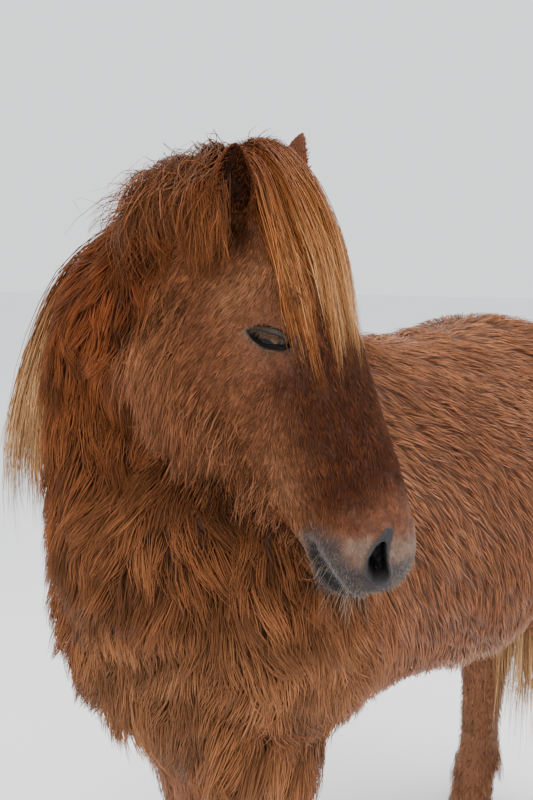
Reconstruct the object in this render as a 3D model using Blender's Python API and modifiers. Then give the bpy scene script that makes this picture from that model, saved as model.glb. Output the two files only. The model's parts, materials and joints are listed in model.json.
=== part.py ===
"""A standing Icelandic horse in its winter coat, life size, with its head turned to its left.

Metres, +Z up. The horse faces -Y and its left side is at +X. Each sub-part is its own object.
The flesh is modelled whole from lofted masses, fused, and then parted with thin cuts.
"""

import math
import random

import bmesh
import bpy
import numpy as np
from mathutils import Matrix, Vector
from mathutils.bvhtree import BVHTree

# Driving sizes
GAP = 0.0003
VOXEL = 0.009
BODY_TRIANGLES = 4300
HEAD_THINNING = 0.995
POLL = Vector((0.139, -0.620, 1.609))
HEAD_YAW = math.radians(98)
HEAD_PITCH = math.radians(27)
HEAD_ROLL = math.radians(-3.5)

EYE_RADIUS = 0.0185
EYE_CENTRE = (0.0755, -0.030, 0.205)
EYE_SLIT = (0.70, 0.714)
LID_THICKNESS = 0.0045
NOSTRIL = (0.043, -0.040, 0.500)

EAR_ROOT = (0.060, -0.045, 0.050)
EAR_TIP = (0.078, 0.026, -0.047)
EAR_WALL = 0.78

LOCK_SINK = 0.022
DOWN = Vector((0, 0, -1))

HOOF_HEIGHT = 0.045
LEG_CUT = 0.740
THIGH_CUT = 0.690


class Station:
    """One cross-section of a loft: a top point, a bottom point and the width between them."""

    def __init__(self, top, bottom, half_width, top_heavy=0.0, squareness=2.0):
        self.row = [*top, *bottom, half_width, top_heavy, squareness]


def smooth_rows(rows, rings):
    """Catmull-Rom interpolation of the stations' numbers, evenly in the station index."""
    rows = np.array(rows, float)
    first = 2 * rows[0] - rows[1]
    last = 2 * rows[-1] - rows[-2]
    padded = np.vstack([first, rows, last])
    out = []
    for t in np.linspace(0, len(rows) - 1, rings):
        i = min(int(t), len(rows) - 2)
        u = t - i
        a, b, c, d = padded[i:i + 4]
        out.append(0.5 * (2 * b + (c - a) * u + (2 * a - 5 * b + 4 * c - d) * u**2
                          + (3 * b - a - 3 * c + d) * u**3))
    return np.array(out)


def rounded(t, squareness):
    return np.sign(t) * np.abs(t) ** (2 / squareness)


def loft(stations, rings=24, sides=20):
    """Points and faces of a closed body through the stations, with a flat fan at each end."""
    rows = smooth_rows([s.row for s in stations], rings)
    tops, bottoms = rows[:, 0:3], rows[:, 3:6]
    centres, ups = (tops + bottoms) / 2, (tops - bottoms) / 2
    ahead = np.gradient(centres, axis=0)
    across = np.cross(ahead, ups)
    across /= np.linalg.norm(across, axis=1)[:, None]
    turn = np.linspace(0, 2 * math.pi, sides, endpoint=False)
    points = []
    for row, centre, up, side in zip(rows, centres, ups, across):
        half_width, heavy, square = row[6:9]
        high, wide = rounded(np.cos(turn), square), rounded(np.sin(turn), square)
        wide = wide * half_width * (1 + heavy * high)
        points.append(centre + high[:, None] * up + wide[:, None] * side)
    points = np.vstack(points + [centres[:1], centres[-1:]])
    faces = []
    for r in range(rings - 1):
        for k in range(sides):
            a, b = r * sides + k, r * sides + (k + 1) % sides
            faces.append((a, b, b + sides, a + sides))
    start, end, last = rings * sides, rings * sides + 1, (rings - 1) * sides
    for k in range(sides):
        n = (k + 1) % sides
        faces.append((start, n, k))
        faces.append((end, last + k, last + n))
    return points, faces


def make_object(name, points, faces, collection=None):
    mesh = bpy.data.meshes.new(name)
    mesh.from_pydata([tuple(p) for p in points], [], faces)
    made = bmesh.new()
    made.from_mesh(mesh)
    bmesh.ops.recalc_face_normals(made, faces=made.faces)
    made.to_mesh(mesh)
    made.free()
    obj = bpy.data.objects.new(name, mesh)
    (collection or bpy.context.scene.collection).objects.link(obj)
    return obj


def torso_stations():
    rows = (
        # y, top z, bottom z, half width, top heavy, squareness
        (-0.715, 1.110, 0.890, 0.090, 0.0, 2.0),
        (-0.675, 1.210, 0.810, 0.215, 0.0, 2.1),
        (-0.540, 1.320, 0.770, 0.268, -0.05, 2.2),
        (-0.330, 1.385, 0.765, 0.262, -0.15, 2.2),
        (-0.130, 1.372, 0.740, 0.275, -0.10, 2.2),
        (0.070, 1.368, 0.700, 0.298, -0.08, 2.2),
        (0.260, 1.374, 0.690, 0.290, -0.02, 2.2),
        (0.400, 1.390, 0.750, 0.268, 0.0, 2.3),
        (0.540, 1.366, 0.850, 0.238, 0.0, 2.3),
        (0.650, 1.280, 0.920, 0.185, 0.0, 2.2),
        (0.715, 1.180, 1.000, 0.090, 0.0, 2.0),
    )
    return [Station((-0.008, y, t), (-0.008, y, b), w, k, n) for y, t, b, w, k, n in rows]


NECK_ROWS = (
    # crest point, throat point, half width
    ((0.000, -0.160, 1.350), (0.000, -0.560, 0.840), 0.200),
    ((-0.015, -0.330, 1.400), (-0.050, -0.715, 0.950), 0.205),
    ((-0.055, -0.440, 1.455), (-0.090, -0.755, 1.080), 0.152),
    ((-0.070, -0.530, 1.525), (-0.090, -0.735, 1.210), 0.116),
    ((-0.030, -0.605, 1.590), (-0.060, -0.700, 1.330), 0.100),
    ((0.050, -0.630, 1.618), (0.000, -0.645, 1.390), 0.095),
    ((0.135, -0.620, 1.615), (0.085, -0.625, 1.420), 0.086),
)


def neck_stations():
    return [Station(c, t, w, -0.25, 2.0) for c, t, w in NECK_ROWS]


def head_matrix():
    """The head's own frame: +X to its left, +Y out of the forehead, +Z down to the muzzle."""
    facing = Vector((math.sin(HEAD_YAW), -math.cos(HEAD_YAW), 0))
    along = facing * math.sin(HEAD_PITCH) - Vector((0, 0, math.cos(HEAD_PITCH)))
    out = facing * math.cos(HEAD_PITCH) + Vector((0, 0, math.sin(HEAD_PITCH)))
    left = Vector((0, 0, 1)).cross(facing)
    turn = Matrix.Rotation(HEAD_ROLL, 3, facing)
    frame = Matrix((turn @ left, turn @ out, turn @ along)).transposed().to_4x4()
    return Matrix.Translation(POLL) @ frame


def head_stations():
    rows = (
        # along, forehead side, jaw side, half width, top heavy, squareness
        (-0.020, -0.030, -0.100, 0.040, 0.0, 2.0),
        (0.015, 0.000, -0.150, 0.062, 0.0, 2.1),
        (0.080, 0.022, -0.200, 0.080, 0.1, 2.2),
        (0.150, 0.034, -0.245, 0.090, 0.2, 2.3),
        (0.210, 0.036, -0.250, 0.091, 0.2, 2.4),
        (0.280, 0.030, -0.222, 0.082, 0.2, 2.4),
        (0.350, 0.024, -0.178, 0.068, 0.15, 2.3),
        (0.420, 0.020, -0.143, 0.058, 0.1, 2.4),
        (0.470, 0.016, -0.128, 0.058, 0.05, 2.5),
        (0.510, 0.008, -0.122, 0.058, 0.0, 2.6),
        (0.538, -0.012, -0.110, 0.050, 0.0, 2.4),
        (0.552, -0.036, -0.092, 0.030, 0.0, 2.0),
    )
    frame = head_matrix()
    return [Station(frame @ Vector((0, f, s)), frame @ Vector((0, j, s)), w, k, n)
            for s, f, j, w, k, n in rows]


def foreleg_stations(side):
    ahead = 0.055 * side
    inward = -0.022
    rows = (
        # z, x, front y, back y, half width
        (1.050, 0.080, -0.600, -0.420, 0.030),
        (0.960, 0.100, -0.655, -0.370, 0.092),
        (0.860, 0.112, -0.650, -0.370, 0.105),
        (0.760, 0.106, -0.620, -0.390, 0.092),
        (0.660, 0.100, -0.590, -0.415, 0.076),
        (0.540, 0.098, -0.565, -0.440, 0.062),
        (0.440, 0.096, -0.560, -0.452, 0.056),
        (0.390, 0.096, -0.555, -0.455, 0.052),
        (0.300, 0.096, -0.545, -0.455, 0.044),
        (0.200, 0.096, -0.545, -0.440, 0.048),
        (0.150, 0.096, -0.552, -0.430, 0.054),
        (0.100, 0.096, -0.562, -0.450, 0.054),
        (0.060, 0.096, -0.577, -0.460, 0.056),
        (0.030, 0.096, -0.582, -0.462, 0.058),
    )
    return [Station((side * x + inward, f - ahead, z), (side * x + inward, b - ahead, z), w, 0, 2.2)
            for z, x, f, b, w in rows]


def hindleg_stations(side):
    back_step = 0.035 - 0.03 * side
    inward = 0.008 - 0.008 * side
    rows = (
        # x, front point (y, z), back point (y, z), half width
        (0.080, (0.420, 1.220), (0.600, 1.250), 0.020),
        (0.115, (0.350, 1.120), (0.705, 1.150), 0.095),
        (0.136, (0.315, 1.000), (0.742, 1.050), 0.122),
        (0.150, (0.330, 0.860), (0.755, 0.920), 0.122),
        (0.148, (0.400, 0.740), (0.745, 0.790), 0.106),
        (0.144, (0.475, 0.640), (0.755, 0.680), 0.090),
        (0.140, (0.555, 0.540), (0.790, 0.580), 0.077),
        (0.138, (0.605, 0.460), (0.795, 0.490), 0.070),
        (0.136, (0.620, 0.385), (0.770, 0.390), 0.060),
        (0.134, (0.615, 0.300), (0.740, 0.300), 0.053),
        (0.134, (0.610, 0.200), (0.730, 0.200), 0.052),
        (0.134, (0.595, 0.150), (0.730, 0.150), 0.057),
        (0.134, (0.580, 0.100), (0.700, 0.100), 0.054),
        (0.134, (0.565, 0.060), (0.690, 0.060), 0.057),
        (0.134, (0.560, 0.030), (0.690, 0.030), 0.059),
    )
    return [Station((side * x + inward, f[0] + back_step, f[1]),
                    (side * x + inward, b[0] + back_step, b[1]), w, 0, 2.2)
            for x, f, b, w in rows]


def ellipsoid(centre, radii, frame, rings=8, sides=12):
    """Points and faces of an ellipsoid, placed by a frame."""
    points = []
    for r in range(1, rings):
        polar = math.pi * r / rings
        for k in range(sides):
            turn = 2 * math.pi * k / sides
            points.append(Vector((math.sin(polar) * math.cos(turn) * radii[0],
                                  math.sin(polar) * math.sin(turn) * radii[1],
                                  math.cos(polar) * radii[2])) + Vector(centre))
    pole = Vector((0, 0, radii[2]))
    points += [Vector(centre) + pole, Vector(centre) - pole]
    faces = [(r * sides + k, (r + 1) * sides + k, (r + 1) * sides + (k + 1) % sides,
              r * sides + (k + 1) % sides) for r in range(rings - 2) for k in range(sides)]
    top, bottom = len(points) - 2, len(points) - 1
    for k in range(sides):
        n = (k + 1) % sides
        faces.append((top, k, n))
        faces.append((bottom, (rings - 2) * sides + n, (rings - 2) * sides + k))
    return np.array([tuple(frame @ p) for p in points]), faces


def head_masses():
    """Chin, poll, cheeks, brows and lips, as ellipsoids in the head's frame."""
    frame = head_matrix()
    found = [ellipsoid((0, -0.118, 0.500), (0.034, 0.024, 0.036), frame),
             ellipsoid((0.004, -0.004, -0.010), (0.044, 0.046, 0.060), frame)]
    for side in (1, -1):
        found.append(ellipsoid((side * 0.050, -0.150, 0.195), (0.040, 0.116, 0.110), frame))
        found.append(ellipsoid((side * 0.064, -0.004, 0.172), (0.021, 0.032, 0.044), frame))
        found.append(ellipsoid((side * 0.040, -0.040, 0.500), (0.026, 0.036, 0.040), frame))
    return found


def throat_masses():
    """The throat's fill between neck and jaw."""
    return [ellipsoid((-0.020, -0.665, 1.400), (0.080, 0.085, 0.120), Matrix())]


def joined(pieces):
    """One set of points and faces from several."""
    points, faces, start = [], [], 0
    for p, f in pieces:
        points.append(p)
        faces += [tuple(i + start for i in face) for face in f]
        start += len(p)
    return np.vstack(points), faces


def evaluated_copy(obj):
    """A new mesh object of obj as its modifiers leave it; obj is removed."""
    name = obj.name
    graph = bpy.context.evaluated_depsgraph_get()
    mesh = bpy.data.meshes.new_from_object(obj.evaluated_get(graph))
    made = bpy.data.objects.new(name, mesh)
    bpy.context.scene.collection.objects.link(made)
    bpy.data.objects.remove(obj)
    made.name = name
    return made


def relax(obj, rounds, shrink=0.5, swell=-0.53):
    """Smooths a mesh without shrinking it, by moving each point in and then out again."""
    mesh = obj.data
    points = np.empty(len(mesh.vertices) * 3)
    mesh.vertices.foreach_get("co", points)
    points = points.reshape(-1, 3)
    edges = np.empty(len(mesh.edges) * 2, np.int32)
    mesh.edges.foreach_get("vertices", edges)
    a, b = edges.reshape(-1, 2).T
    count = np.bincount(np.concatenate([a, b]), minlength=len(points))[:, None]
    for _ in range(rounds):
        for step in (shrink, swell):
            total = np.zeros_like(points)
            for axis in range(3):
                total[:, axis] = (np.bincount(a, points[b, axis], len(points))
                                  + np.bincount(b, points[a, axis], len(points)))
            points += step * (total / count - points)
    mesh.vertices.foreach_set("co", points.ravel())
    mesh.update()


def thin_out(obj, triangles):
    """Fewer faces, kept finer on the head than elsewhere."""
    mesh = obj.data
    frame = head_matrix().inverted()
    fine = obj.vertex_groups.new(name="coarser")
    for v in mesh.vertices:
        p = frame @ v.co
        on_head = -0.26 < p.y < 0.08 and -0.06 < p.z < 0.60 and abs(p.x) < 0.12
        fine.add([v.index], HEAD_THINNING if on_head else 1.0, "REPLACE")
    mesh.calc_loop_triangles()
    thin = obj.modifiers.new("Thin", "DECIMATE")
    thin.ratio = triangles / len(mesh.loop_triangles)
    thin.use_collapse_triangulate = True
    thin.vertex_group = "coarser"
    obj = evaluated_copy(obj)
    obj.vertex_groups.clear()
    return obj


def flesh():
    pieces = [loft(torso_stations(), 60, 40), loft(neck_stations(), 36, 32),
              loft(head_stations(), 48, 32), *head_masses(), *throat_masses()]
    for side in (1, -1):
        pieces.append(loft(foreleg_stations(side), 50, 20))
        pieces.append(loft(hindleg_stations(side), 50, 20))
    body = make_object("body", *joined(pieces))
    fuse = body.modifiers.new("Fuse", "REMESH")
    fuse.mode = "VOXEL"
    fuse.voxel_size = VOXEL
    body = evaluated_copy(body)
    relax(body, 12)
    return body


class Coat:
    """Grows flat tapered locks over a surface."""

    def __init__(self, objects, seed):
        trees = [o.data for o in objects]
        points = [v.co.copy() for mesh in trees for v in mesh.vertices]
        faces, start = [], 0
        for mesh in trees:
            faces += [tuple(i + start for i in p.vertices) for p in mesh.polygons]
            start += len(mesh.vertices)
        self.tree = BVHTree.FromPolygons(points, faces)
        self.random = random.Random(seed)
        self.locks = []

    def vary(self, value, part=0.15):
        return value * self.random.uniform(1 - part, 1 + part)

    def path(self, root, heading, length, steps, lift, pull):
        """Points out over the surface and down, and the way each faces."""
        point, normal, _, _ = self.tree.find_nearest(root)
        heading = (heading - normal * heading.dot(normal)).normalized()
        points, normals = [point - normal * LOCK_SINK], [normal]
        for i in range(1, steps + 1):
            heading = (heading + DOWN * pull).normalized()
            point = point + heading * length / steps
            near, out, _, _ = self.tree.find_nearest(point)
            height = lift * min(1.0, 0.35 + 0.65 * i / steps)
            if (point - near).dot(out) < height:
                point = near + out * height
            if i > 1:
                heading = (point - points[-1]).normalized()
            points.append(point)
            normals.append((normals[-1] + out).normalized())
        return points, normals

    def add(self, root, heading, length, width, thickness, steps=4, lift=0.014, pull=0.25):
        """One lock with a flat underside and a ridged back."""
        points, normals = self.path(Vector(root), Vector(heading), self.vary(length), steps,
                                    self.vary(lift, 0.25), pull)
        width, thickness = self.vary(width), self.vary(thickness, 0.1)
        corners = []
        for i in range(steps):
            ahead = (points[i + 1] - points[max(i - 1, 0)]).normalized()
            side = ahead.cross(normals[i]).normalized()
            out = side.cross(ahead).normalized()
            along = i / steps
            half = width / 2 * (1 - along ** 1.6) ** 0.8 * (0.45 if i == 0 else 1.0)
            deep = thickness * (1 - 0.5 * along)
            corners += [points[i] + side * half, points[i] + out * deep, points[i] - side * half]
        corners.append(points[-1])
        faces = [(0, 1, 2)]
        for i in range(steps - 1):
            for k in range(3):
                a, b = 3 * i + k, 3 * i + (k + 1) % 3
                faces += [(a, a + 3, b + 3), (a, b + 3, b)]
        last = 3 * (steps - 1)
        faces += [(last + k, len(corners) - 1, last + (k + 1) % 3) for k in range(3)]
        self.locks.append(make_object("lock", corners, faces))


def neck_section(level):
    """Centre, crest direction, left direction and forward direction of the neck at a level."""
    centres = [Vector(c).lerp(Vector(t), 0.5) for c, t, _ in NECK_ROWS]
    i = min(int(level), len(centres) - 2)
    u = level - i
    centre = centres[i].lerp(centres[i + 1], u)
    up = Vector(NECK_ROWS[i][0]).lerp(Vector(NECK_ROWS[i + 1][0]), u) - centre
    ahead = (centres[i + 1] - centres[i]).normalized()
    half_width = NECK_ROWS[i][2] * (1 - u) + NECK_ROWS[i + 1][2] * u
    return centre, up, ahead.cross(up).normalized(), ahead, half_width


def on_head(point):
    p = head_matrix().inverted() @ point
    return p.y > -0.29 + 0.45 * max(0.0, p.z - 0.25) and p.z > 0.02 and abs(p.x) < 0.14


def neck_coat(coat):
    """Shaggy locks round the neck, pointing down and back."""
    for level, count in ((4.7, 4), (3.8, 6), (3.0, 7), (2.2, 8), (1.4, 7)):
        centre, up, left, ahead, half_width = neck_section(level)
        for step in range(count):
            turn = math.radians(55 + 250 * (step + 0.5 * (count % 2)) / count)
            root = centre + up * 1.1 * math.cos(turn) + left * 1.1 * half_width * math.sin(turn)
            if not on_head(root):
                coat.add(root, DOWN - ahead * 0.35, 0.195, 0.090, 0.014, lift=0.014)


def chest_coat(coat):
    """Long hair over breast and shoulders, and the fringe along the belly."""
    for row, z in enumerate((1.080, 0.980, 0.890)):
        for step in range(5):
            x = -0.215 + 0.094 * (step + 0.5 * (row % 2))
            length = 0.185 - 0.8 * x * x - 0.018 * row
            coat.add((x, -0.95 + 0.9 * x * x, z), DOWN, length, 0.084, 0.014, lift=0.014)
    for step in range(11):
        y = -0.300 + 0.068 * step
        side = 1 if step % 2 else -1
        coat.add((side * 0.19, y, 0.60), Vector((-side * 0.5, 0.2, -1)), 0.125, 0.085, 0.011,
                 lift=0.010, pull=0.25)


def mane(coat):
    """Hair from the crest, most of it falling to the right, and raised in a tuft behind the ears."""
    for step in range(21):
        level = 0.55 + 5.2 * step / 20
        centre, up, left, ahead, _ = neck_section(level)
        side = 1 if step % 3 == 2 else -1
        root = centre + up * 1.05 + left * side * 0.010
        heading = left * side + up.normalized() * 0.25 - ahead * 0.15
        length = (0.36 if side < 0 else 0.24) * (0.75 if level < 1.5 else 1.0)
        lift = 0.048 if level > 4.0 and side > 0 else 0.026
        coat.add(root, heading, length, 0.074, 0.020, steps=4, lift=lift, pull=0.60)


def forelock(coat):
    """Hair from between the ears, down over the forehead and the left eye."""
    frame = head_matrix()
    turn = frame.to_3x3()
    for step in range(14):
        row, place = min(step // 5, 2), step % 5
        across = -0.034 + 0.017 * place + (0.008 if row == 2 else 0.0)
        root = frame @ Vector((across, 0.06, -0.030 + 0.036 * row))
        heading = turn @ Vector((across * 4.5 + 0.01, 0, 1.0))
        length = 0.335 - 0.030 * row - 0.8 * abs(across - 0.01)
        coat.add(root, heading, length, 0.058, 0.015, steps=5, lift=0.030 - 0.008 * row,
                 pull=0.38)


def beard(coat):
    """Short fringe under the jaw."""
    frame = head_matrix()
    turn = frame.to_3x3()
    for step in range(6):
        side = 1 if step % 2 else -1
        root = frame @ Vector((side * 0.03, -0.40, 0.270 + 0.042 * step))
        coat.add(root, turn @ Vector((0, -0.35, 1.0)), 0.085, 0.036, 0.009, steps=3, lift=0.010,
                 pull=0.3)


def feathers(coat):
    """Hair behind each fetlock, falling over the heel."""
    for side in (1, -1):
        for stations in (foreleg_stations(side), hindleg_stations(side)):
            row = stations[-4].row
            middle = (Vector(row[0:3]) + Vector(row[3:6])) / 2
            for step in range(5):
                turn = math.radians(-80 + 160 * step / 4)
                root = middle + Vector((0.09 * math.sin(turn), 0.09 * math.cos(turn), 0.065))
                heading = Vector((0.05 * math.sin(turn), 0.30 * math.cos(turn), -1))
                coat.add(root, heading, 0.135, 0.060, 0.012, steps=3, lift=0.009, pull=0.2)


def tail_stations():
    rows = (
        # front (y, z), back (y, z), half width
        ((0.640, 1.190), (0.680, 1.250), 0.028),
        ((0.710, 1.130), (0.765, 1.185), 0.036),
        ((0.755, 1.040), (0.825, 1.065), 0.044),
        ((0.775, 0.900), (0.855, 0.910), 0.048),
        ((0.785, 0.740), (0.855, 0.740), 0.044),
        ((0.795, 0.580), (0.845, 0.580), 0.032),
        ((0.810, 0.480), (0.835, 0.480), 0.014),
    )
    return [Station((0.006, *b), (0.006, *f), w) for f, b, w in rows]


def tail_hair(coat):
    """Long locks from the tail's root to below the hocks."""
    rows = smooth_rows([s.row for s in tail_stations()], 30)
    for step in range(13):
        row = rows[4 + int(step * 1.2)]
        middle = (Vector(row[0:3]) + Vector(row[3:6])) / 2
        turn = math.radians(137.5 * step)
        out = Vector((math.sin(turn), 0.7 * math.cos(turn) + 0.3, 0))
        reach = middle.z - 0.24 - 0.10 * coat.random.random()
        coat.add(middle + out * 0.2, out * 0.5 + DOWN, reach, 0.115, 0.032, steps=5, lift=0.018,
                 pull=0.5)


def combine(obj, others, operation, solver="MANIFOLD"):
    """One Boolean of obj with a list of closed mesh objects, which are removed after it."""
    group = bpy.data.collections.new("operands")
    bpy.context.scene.collection.children.link(group)
    for other in others:
        for holder in list(other.users_collection):
            holder.objects.unlink(other)
        group.objects.link(other)
    step = obj.modifiers.new(operation.title(), "BOOLEAN")
    step.operation = operation
    step.solver = solver
    step.operand_type = "COLLECTION"
    step.collection = group
    done = evaluated_copy(obj)
    for other in others:
        bpy.data.objects.remove(other)
    bpy.data.collections.remove(group)
    return done


def surfaces(obj):
    """Each connected surface of an object as a set of face indices, largest first."""
    made = bmesh.new()
    made.from_mesh(obj.data)
    made.faces.ensure_lookup_table()
    seen, found = set(), []
    for start in made.faces:
        if start.index in seen:
            continue
        seen.add(start.index)
        group, stack = {start.index}, [start]
        while stack:
            for edge in stack.pop().edges:
                for face in edge.link_faces:
                    if face.index not in seen:
                        seen.add(face.index)
                        group.add(face.index)
                        stack.append(face)
        found.append(group)
    made.free()
    return sorted(found, key=len, reverse=True)


def part_of(obj, faces, name):
    """A new object from some of an object's faces."""
    made = bmesh.new()
    made.from_mesh(obj.data)
    extra = [f for f in made.faces if f.index not in faces]
    bmesh.ops.delete(made, geom=extra, context="FACES")
    mesh = bpy.data.meshes.new(name)
    made.to_mesh(mesh)
    made.free()
    piece = bpy.data.objects.new(name, mesh)
    bpy.context.scene.collection.objects.link(piece)
    return piece


def largest(obj):
    piece = part_of(obj, surfaces(obj)[0], obj.name)
    name = obj.name
    bpy.data.objects.remove(obj)
    piece.name = name
    return piece


def offset_line(line, reach, closed=False):
    """A line in a plane moved sideways by reach, its corners mitred."""
    line = [Vector(p) for p in line]
    moved = []
    for i, point in enumerate(line):
        before = point - line[i - 1] if i or closed else None
        after = line[(i + 1) % len(line)] - point if i + 1 < len(line) or closed else None
        before, after = (before or after).normalized(), (after or before).normalized()
        mitre = (before + after).normalized()
        normal = Vector((-mitre.y, mitre.x))
        moved.append(point + normal * reach / normal.dot(Vector((-before.y, before.x))))
    return moved


def extruded(name, ring, low, high, frame, caps):
    """A closed body: a ring in the frame's YZ plane, stretched from low to high along X."""
    points = [frame @ Vector((x, p.x, p.y)) for x in (low, high) for p in ring]
    n = len(ring)
    faces = [(i, (i + 1) % n, n + (i + 1) % n, n + i) for i in range(n)]
    faces += [tuple(start + i for i in cap) for start in (0, n) for cap in caps]
    return make_object(name, points, faces)


def sheet(name, line, low, high):
    """A sheet of the cuts' thickness along a line in the YZ plane."""
    ring = offset_line(line, GAP / 2) + offset_line(line, -GAP / 2)[::-1]
    return extruded(name, ring, low, high, Matrix(), [range(len(ring))])


def head_region(name, grow):
    """The space that the head's node takes, outside the neck's."""
    outline = [(0.400, -0.300), (0.000, -0.300), (-0.015, -0.040), (-0.235, 0.130),
               (-0.262, 0.200), (-0.258, 0.270), (-0.225, 0.340), (-0.190, 0.420),
               (-0.180, 0.660), (0.400, 0.660)]
    ring = offset_line(outline, grow, closed=True)
    return extruded(name, ring, -0.220 - grow, 0.160 + grow, head_matrix(), [range(len(ring))])


def box(name, low, high):
    points = [(x, y, z) for x in (low[0], high[0]) for y in (low[1], high[1])
              for z in (low[2], high[2])]
    faces = [(0, 1, 3, 2), (4, 6, 7, 5), (0, 4, 5, 1), (2, 3, 7, 6), (0, 2, 6, 4), (1, 5, 7, 3)]
    return make_object(name, points, faces)


def cut_sheets():
    """The thin cuts between neck, torso and legs."""
    found = [sheet("neck_cut", [(-0.080, 1.470), (-0.850, 0.800)], -0.450, 0.450)]
    for side in (1, -1):
        for name, line, middle in (
                ("foreleg_cut", [(-0.760, LEG_CUT), (-0.300, LEG_CUT)], -0.022),
                ("hindleg_cut", [(0.330, THIGH_CUT), (0.950, THIGH_CUT)], 0.008)):
            low, high = sorted((middle + side * 0.0005, side * 0.330))
            found.append(sheet(name, line, low, high))
    return found


def eye_frame(side):
    """At the eyeball's centre: X outward, Y along the slit to the inner corner, Z to the brow."""
    slit = Vector((0, EYE_SLIT[1], EYE_SLIT[0])).normalized()
    outward = Vector((side, 0, 0))
    brow = Vector((0, EYE_SLIT[0], -EYE_SLIT[1])).normalized()
    turn = Matrix((outward, slit, brow)).transposed().to_4x4()
    centre = Vector((side * EYE_CENTRE[0], EYE_CENTRE[1], EYE_CENTRE[2]))
    return head_matrix() @ Matrix.Translation(centre) @ turn


def tube(path, radii, sides=6):
    """A closed round tube along a path."""
    stations = []
    for i, point in enumerate(path):
        ahead = (path[min(i + 1, len(path) - 1)] - path[max(i - 1, 0)]).normalized()
        up = ahead.orthogonal().normalized() if i == 0 else (up - ahead * up.dot(ahead)).normalized()
        stations.append(Station(point + up * radii[i], point - up * radii[i], radii[i]))
    return loft(stations, len(path), sides)


def lids(side):
    """Upper and lower lid as folds over the eyeball."""
    frame = eye_frame(side)
    found = []
    for lift, thick in ((0.58, LID_THICKNESS * 1.25), (-0.42, LID_THICKNESS)):
        path, radii = [], []
        for step in range(9):
            turn = math.radians(-84 + 168 * step / 8)
            rise = lift * math.cos(turn) ** 0.8
            where = Vector((math.cos(turn) * math.cos(rise), math.sin(turn), math.sin(rise)))
            path.append(frame @ (where.normalized() * (EYE_RADIUS + 0.0012)))
            radii.append(thick * (0.55 + 0.45 * math.cos(turn)))
        found.append(make_object("lid", *tube(path, radii)))
    return found


def eyeball(name, side, radius):
    return make_object(name, *ellipsoid((0, 0, 0), (radius, radius, radius), eye_frame(side)))


def ear_form(name, side, grow=0.0, hollow=False):
    """The ear's leaf shape, or the hollow of its cup."""
    rows = (
        # part of the length, half width, half depth
        (0.00, 0.018, 0.016), (0.15, 0.024, 0.021), (0.40, 0.029, 0.022), (0.65, 0.024, 0.017),
        (0.86, 0.013, 0.009), (1.00, 0.003, 0.003),
    )
    frame = head_matrix()
    root = Vector((side * EAR_ROOT[0], EAR_ROOT[1], EAR_ROOT[2]))
    tip = Vector((side * EAR_TIP[0], EAR_TIP[1], EAR_TIP[2]))
    axis = (tip - root).normalized()
    root, tip = root - axis * grow, tip + axis * grow
    mouth = Vector((side * 0.55, 0.60, 0.40))
    mouth = (mouth - axis * mouth.dot(axis)).normalized()
    stations = []
    for part, wide, deep in rows:
        centre = root.lerp(tip, part)
        if hollow:
            centre = root.lerp(tip, 0.16 + 0.76 * part) + mouth * deep * 0.75
            wide, deep = wide * EAR_WALL, deep * EAR_WALL
        reach = mouth * (deep + grow)
        stations.append(Station(frame @ (centre + reach), frame @ (centre - reach), wide + grow))
    return make_object(name, *loft(stations, 9, 10))


def ear(side, name):
    return largest(combine(ear_form(name, side), [ear_form("hollow", side, hollow=True)],
                           "DIFFERENCE"))


def nostrils_and_mouth():
    """Cutters: a comma-shaped pit for each nostril and the line between the lips."""
    frame = head_matrix()
    found = []
    for side in (1, -1):
        middle = (side * (NOSTRIL[0] + 0.016), NOSTRIL[1], NOSTRIL[2])
        found.append(make_object("pit", *ellipsoid(middle, (0.022, 0.012, 0.022), frame, 6, 8)))
        found.append(make_object("pit", *ellipsoid(
            (middle[0], middle[1] + 0.011, middle[2] - 0.015), (0.018, 0.008, 0.013), frame, 6, 8)))
        path = [Vector((side * x, y, z)) for x, y, z in (
            (0.062, -0.096, 0.448), (0.056, -0.100, 0.470), (0.050, -0.096, 0.500),
            (0.038, -0.092, 0.530), (0.020, -0.088, 0.550), (-0.004, -0.086, 0.558))]
        stations = [Station(frame @ (p + Vector((0, 0.0025, 0))), frame @ (p - Vector((0, 0.0025, 0))),
                            0.010) for p in path]
        found.append(make_object("line", *loft(stations, 8, 6)))
    return found


def hoof(name, stations):
    """A hoof under a leg: sloped at the toe, flat below."""
    bottom_ring = stations[-1].row
    x = bottom_ring[0]
    front, back = bottom_ring[1], bottom_ring[4]
    rows = ((0.0, -0.030, 0.004, 0.066), (0.020, -0.018, 0.002, 0.063),
            (HOOF_HEIGHT, -0.004, 0.000, 0.058))
    stations = [Station((x, front + f, z), (x, back + b, z), w, 0, 2.2) for z, f, b, w in rows]
    return make_object(name, *loft(stations, 3, 18))


def swollen(obj, by):
    """A copy of an object grown along its normals."""
    copy = duplicate(obj)
    grow = copy.modifiers.new("Grow", "DISPLACE")
    grow.strength = by
    grow.mid_level = 0
    return evaluated_copy(copy)


def duplicate(obj):
    copy = obj.copy()
    copy.data = obj.data.copy()
    bpy.context.scene.collection.objects.link(copy)
    return copy


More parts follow.
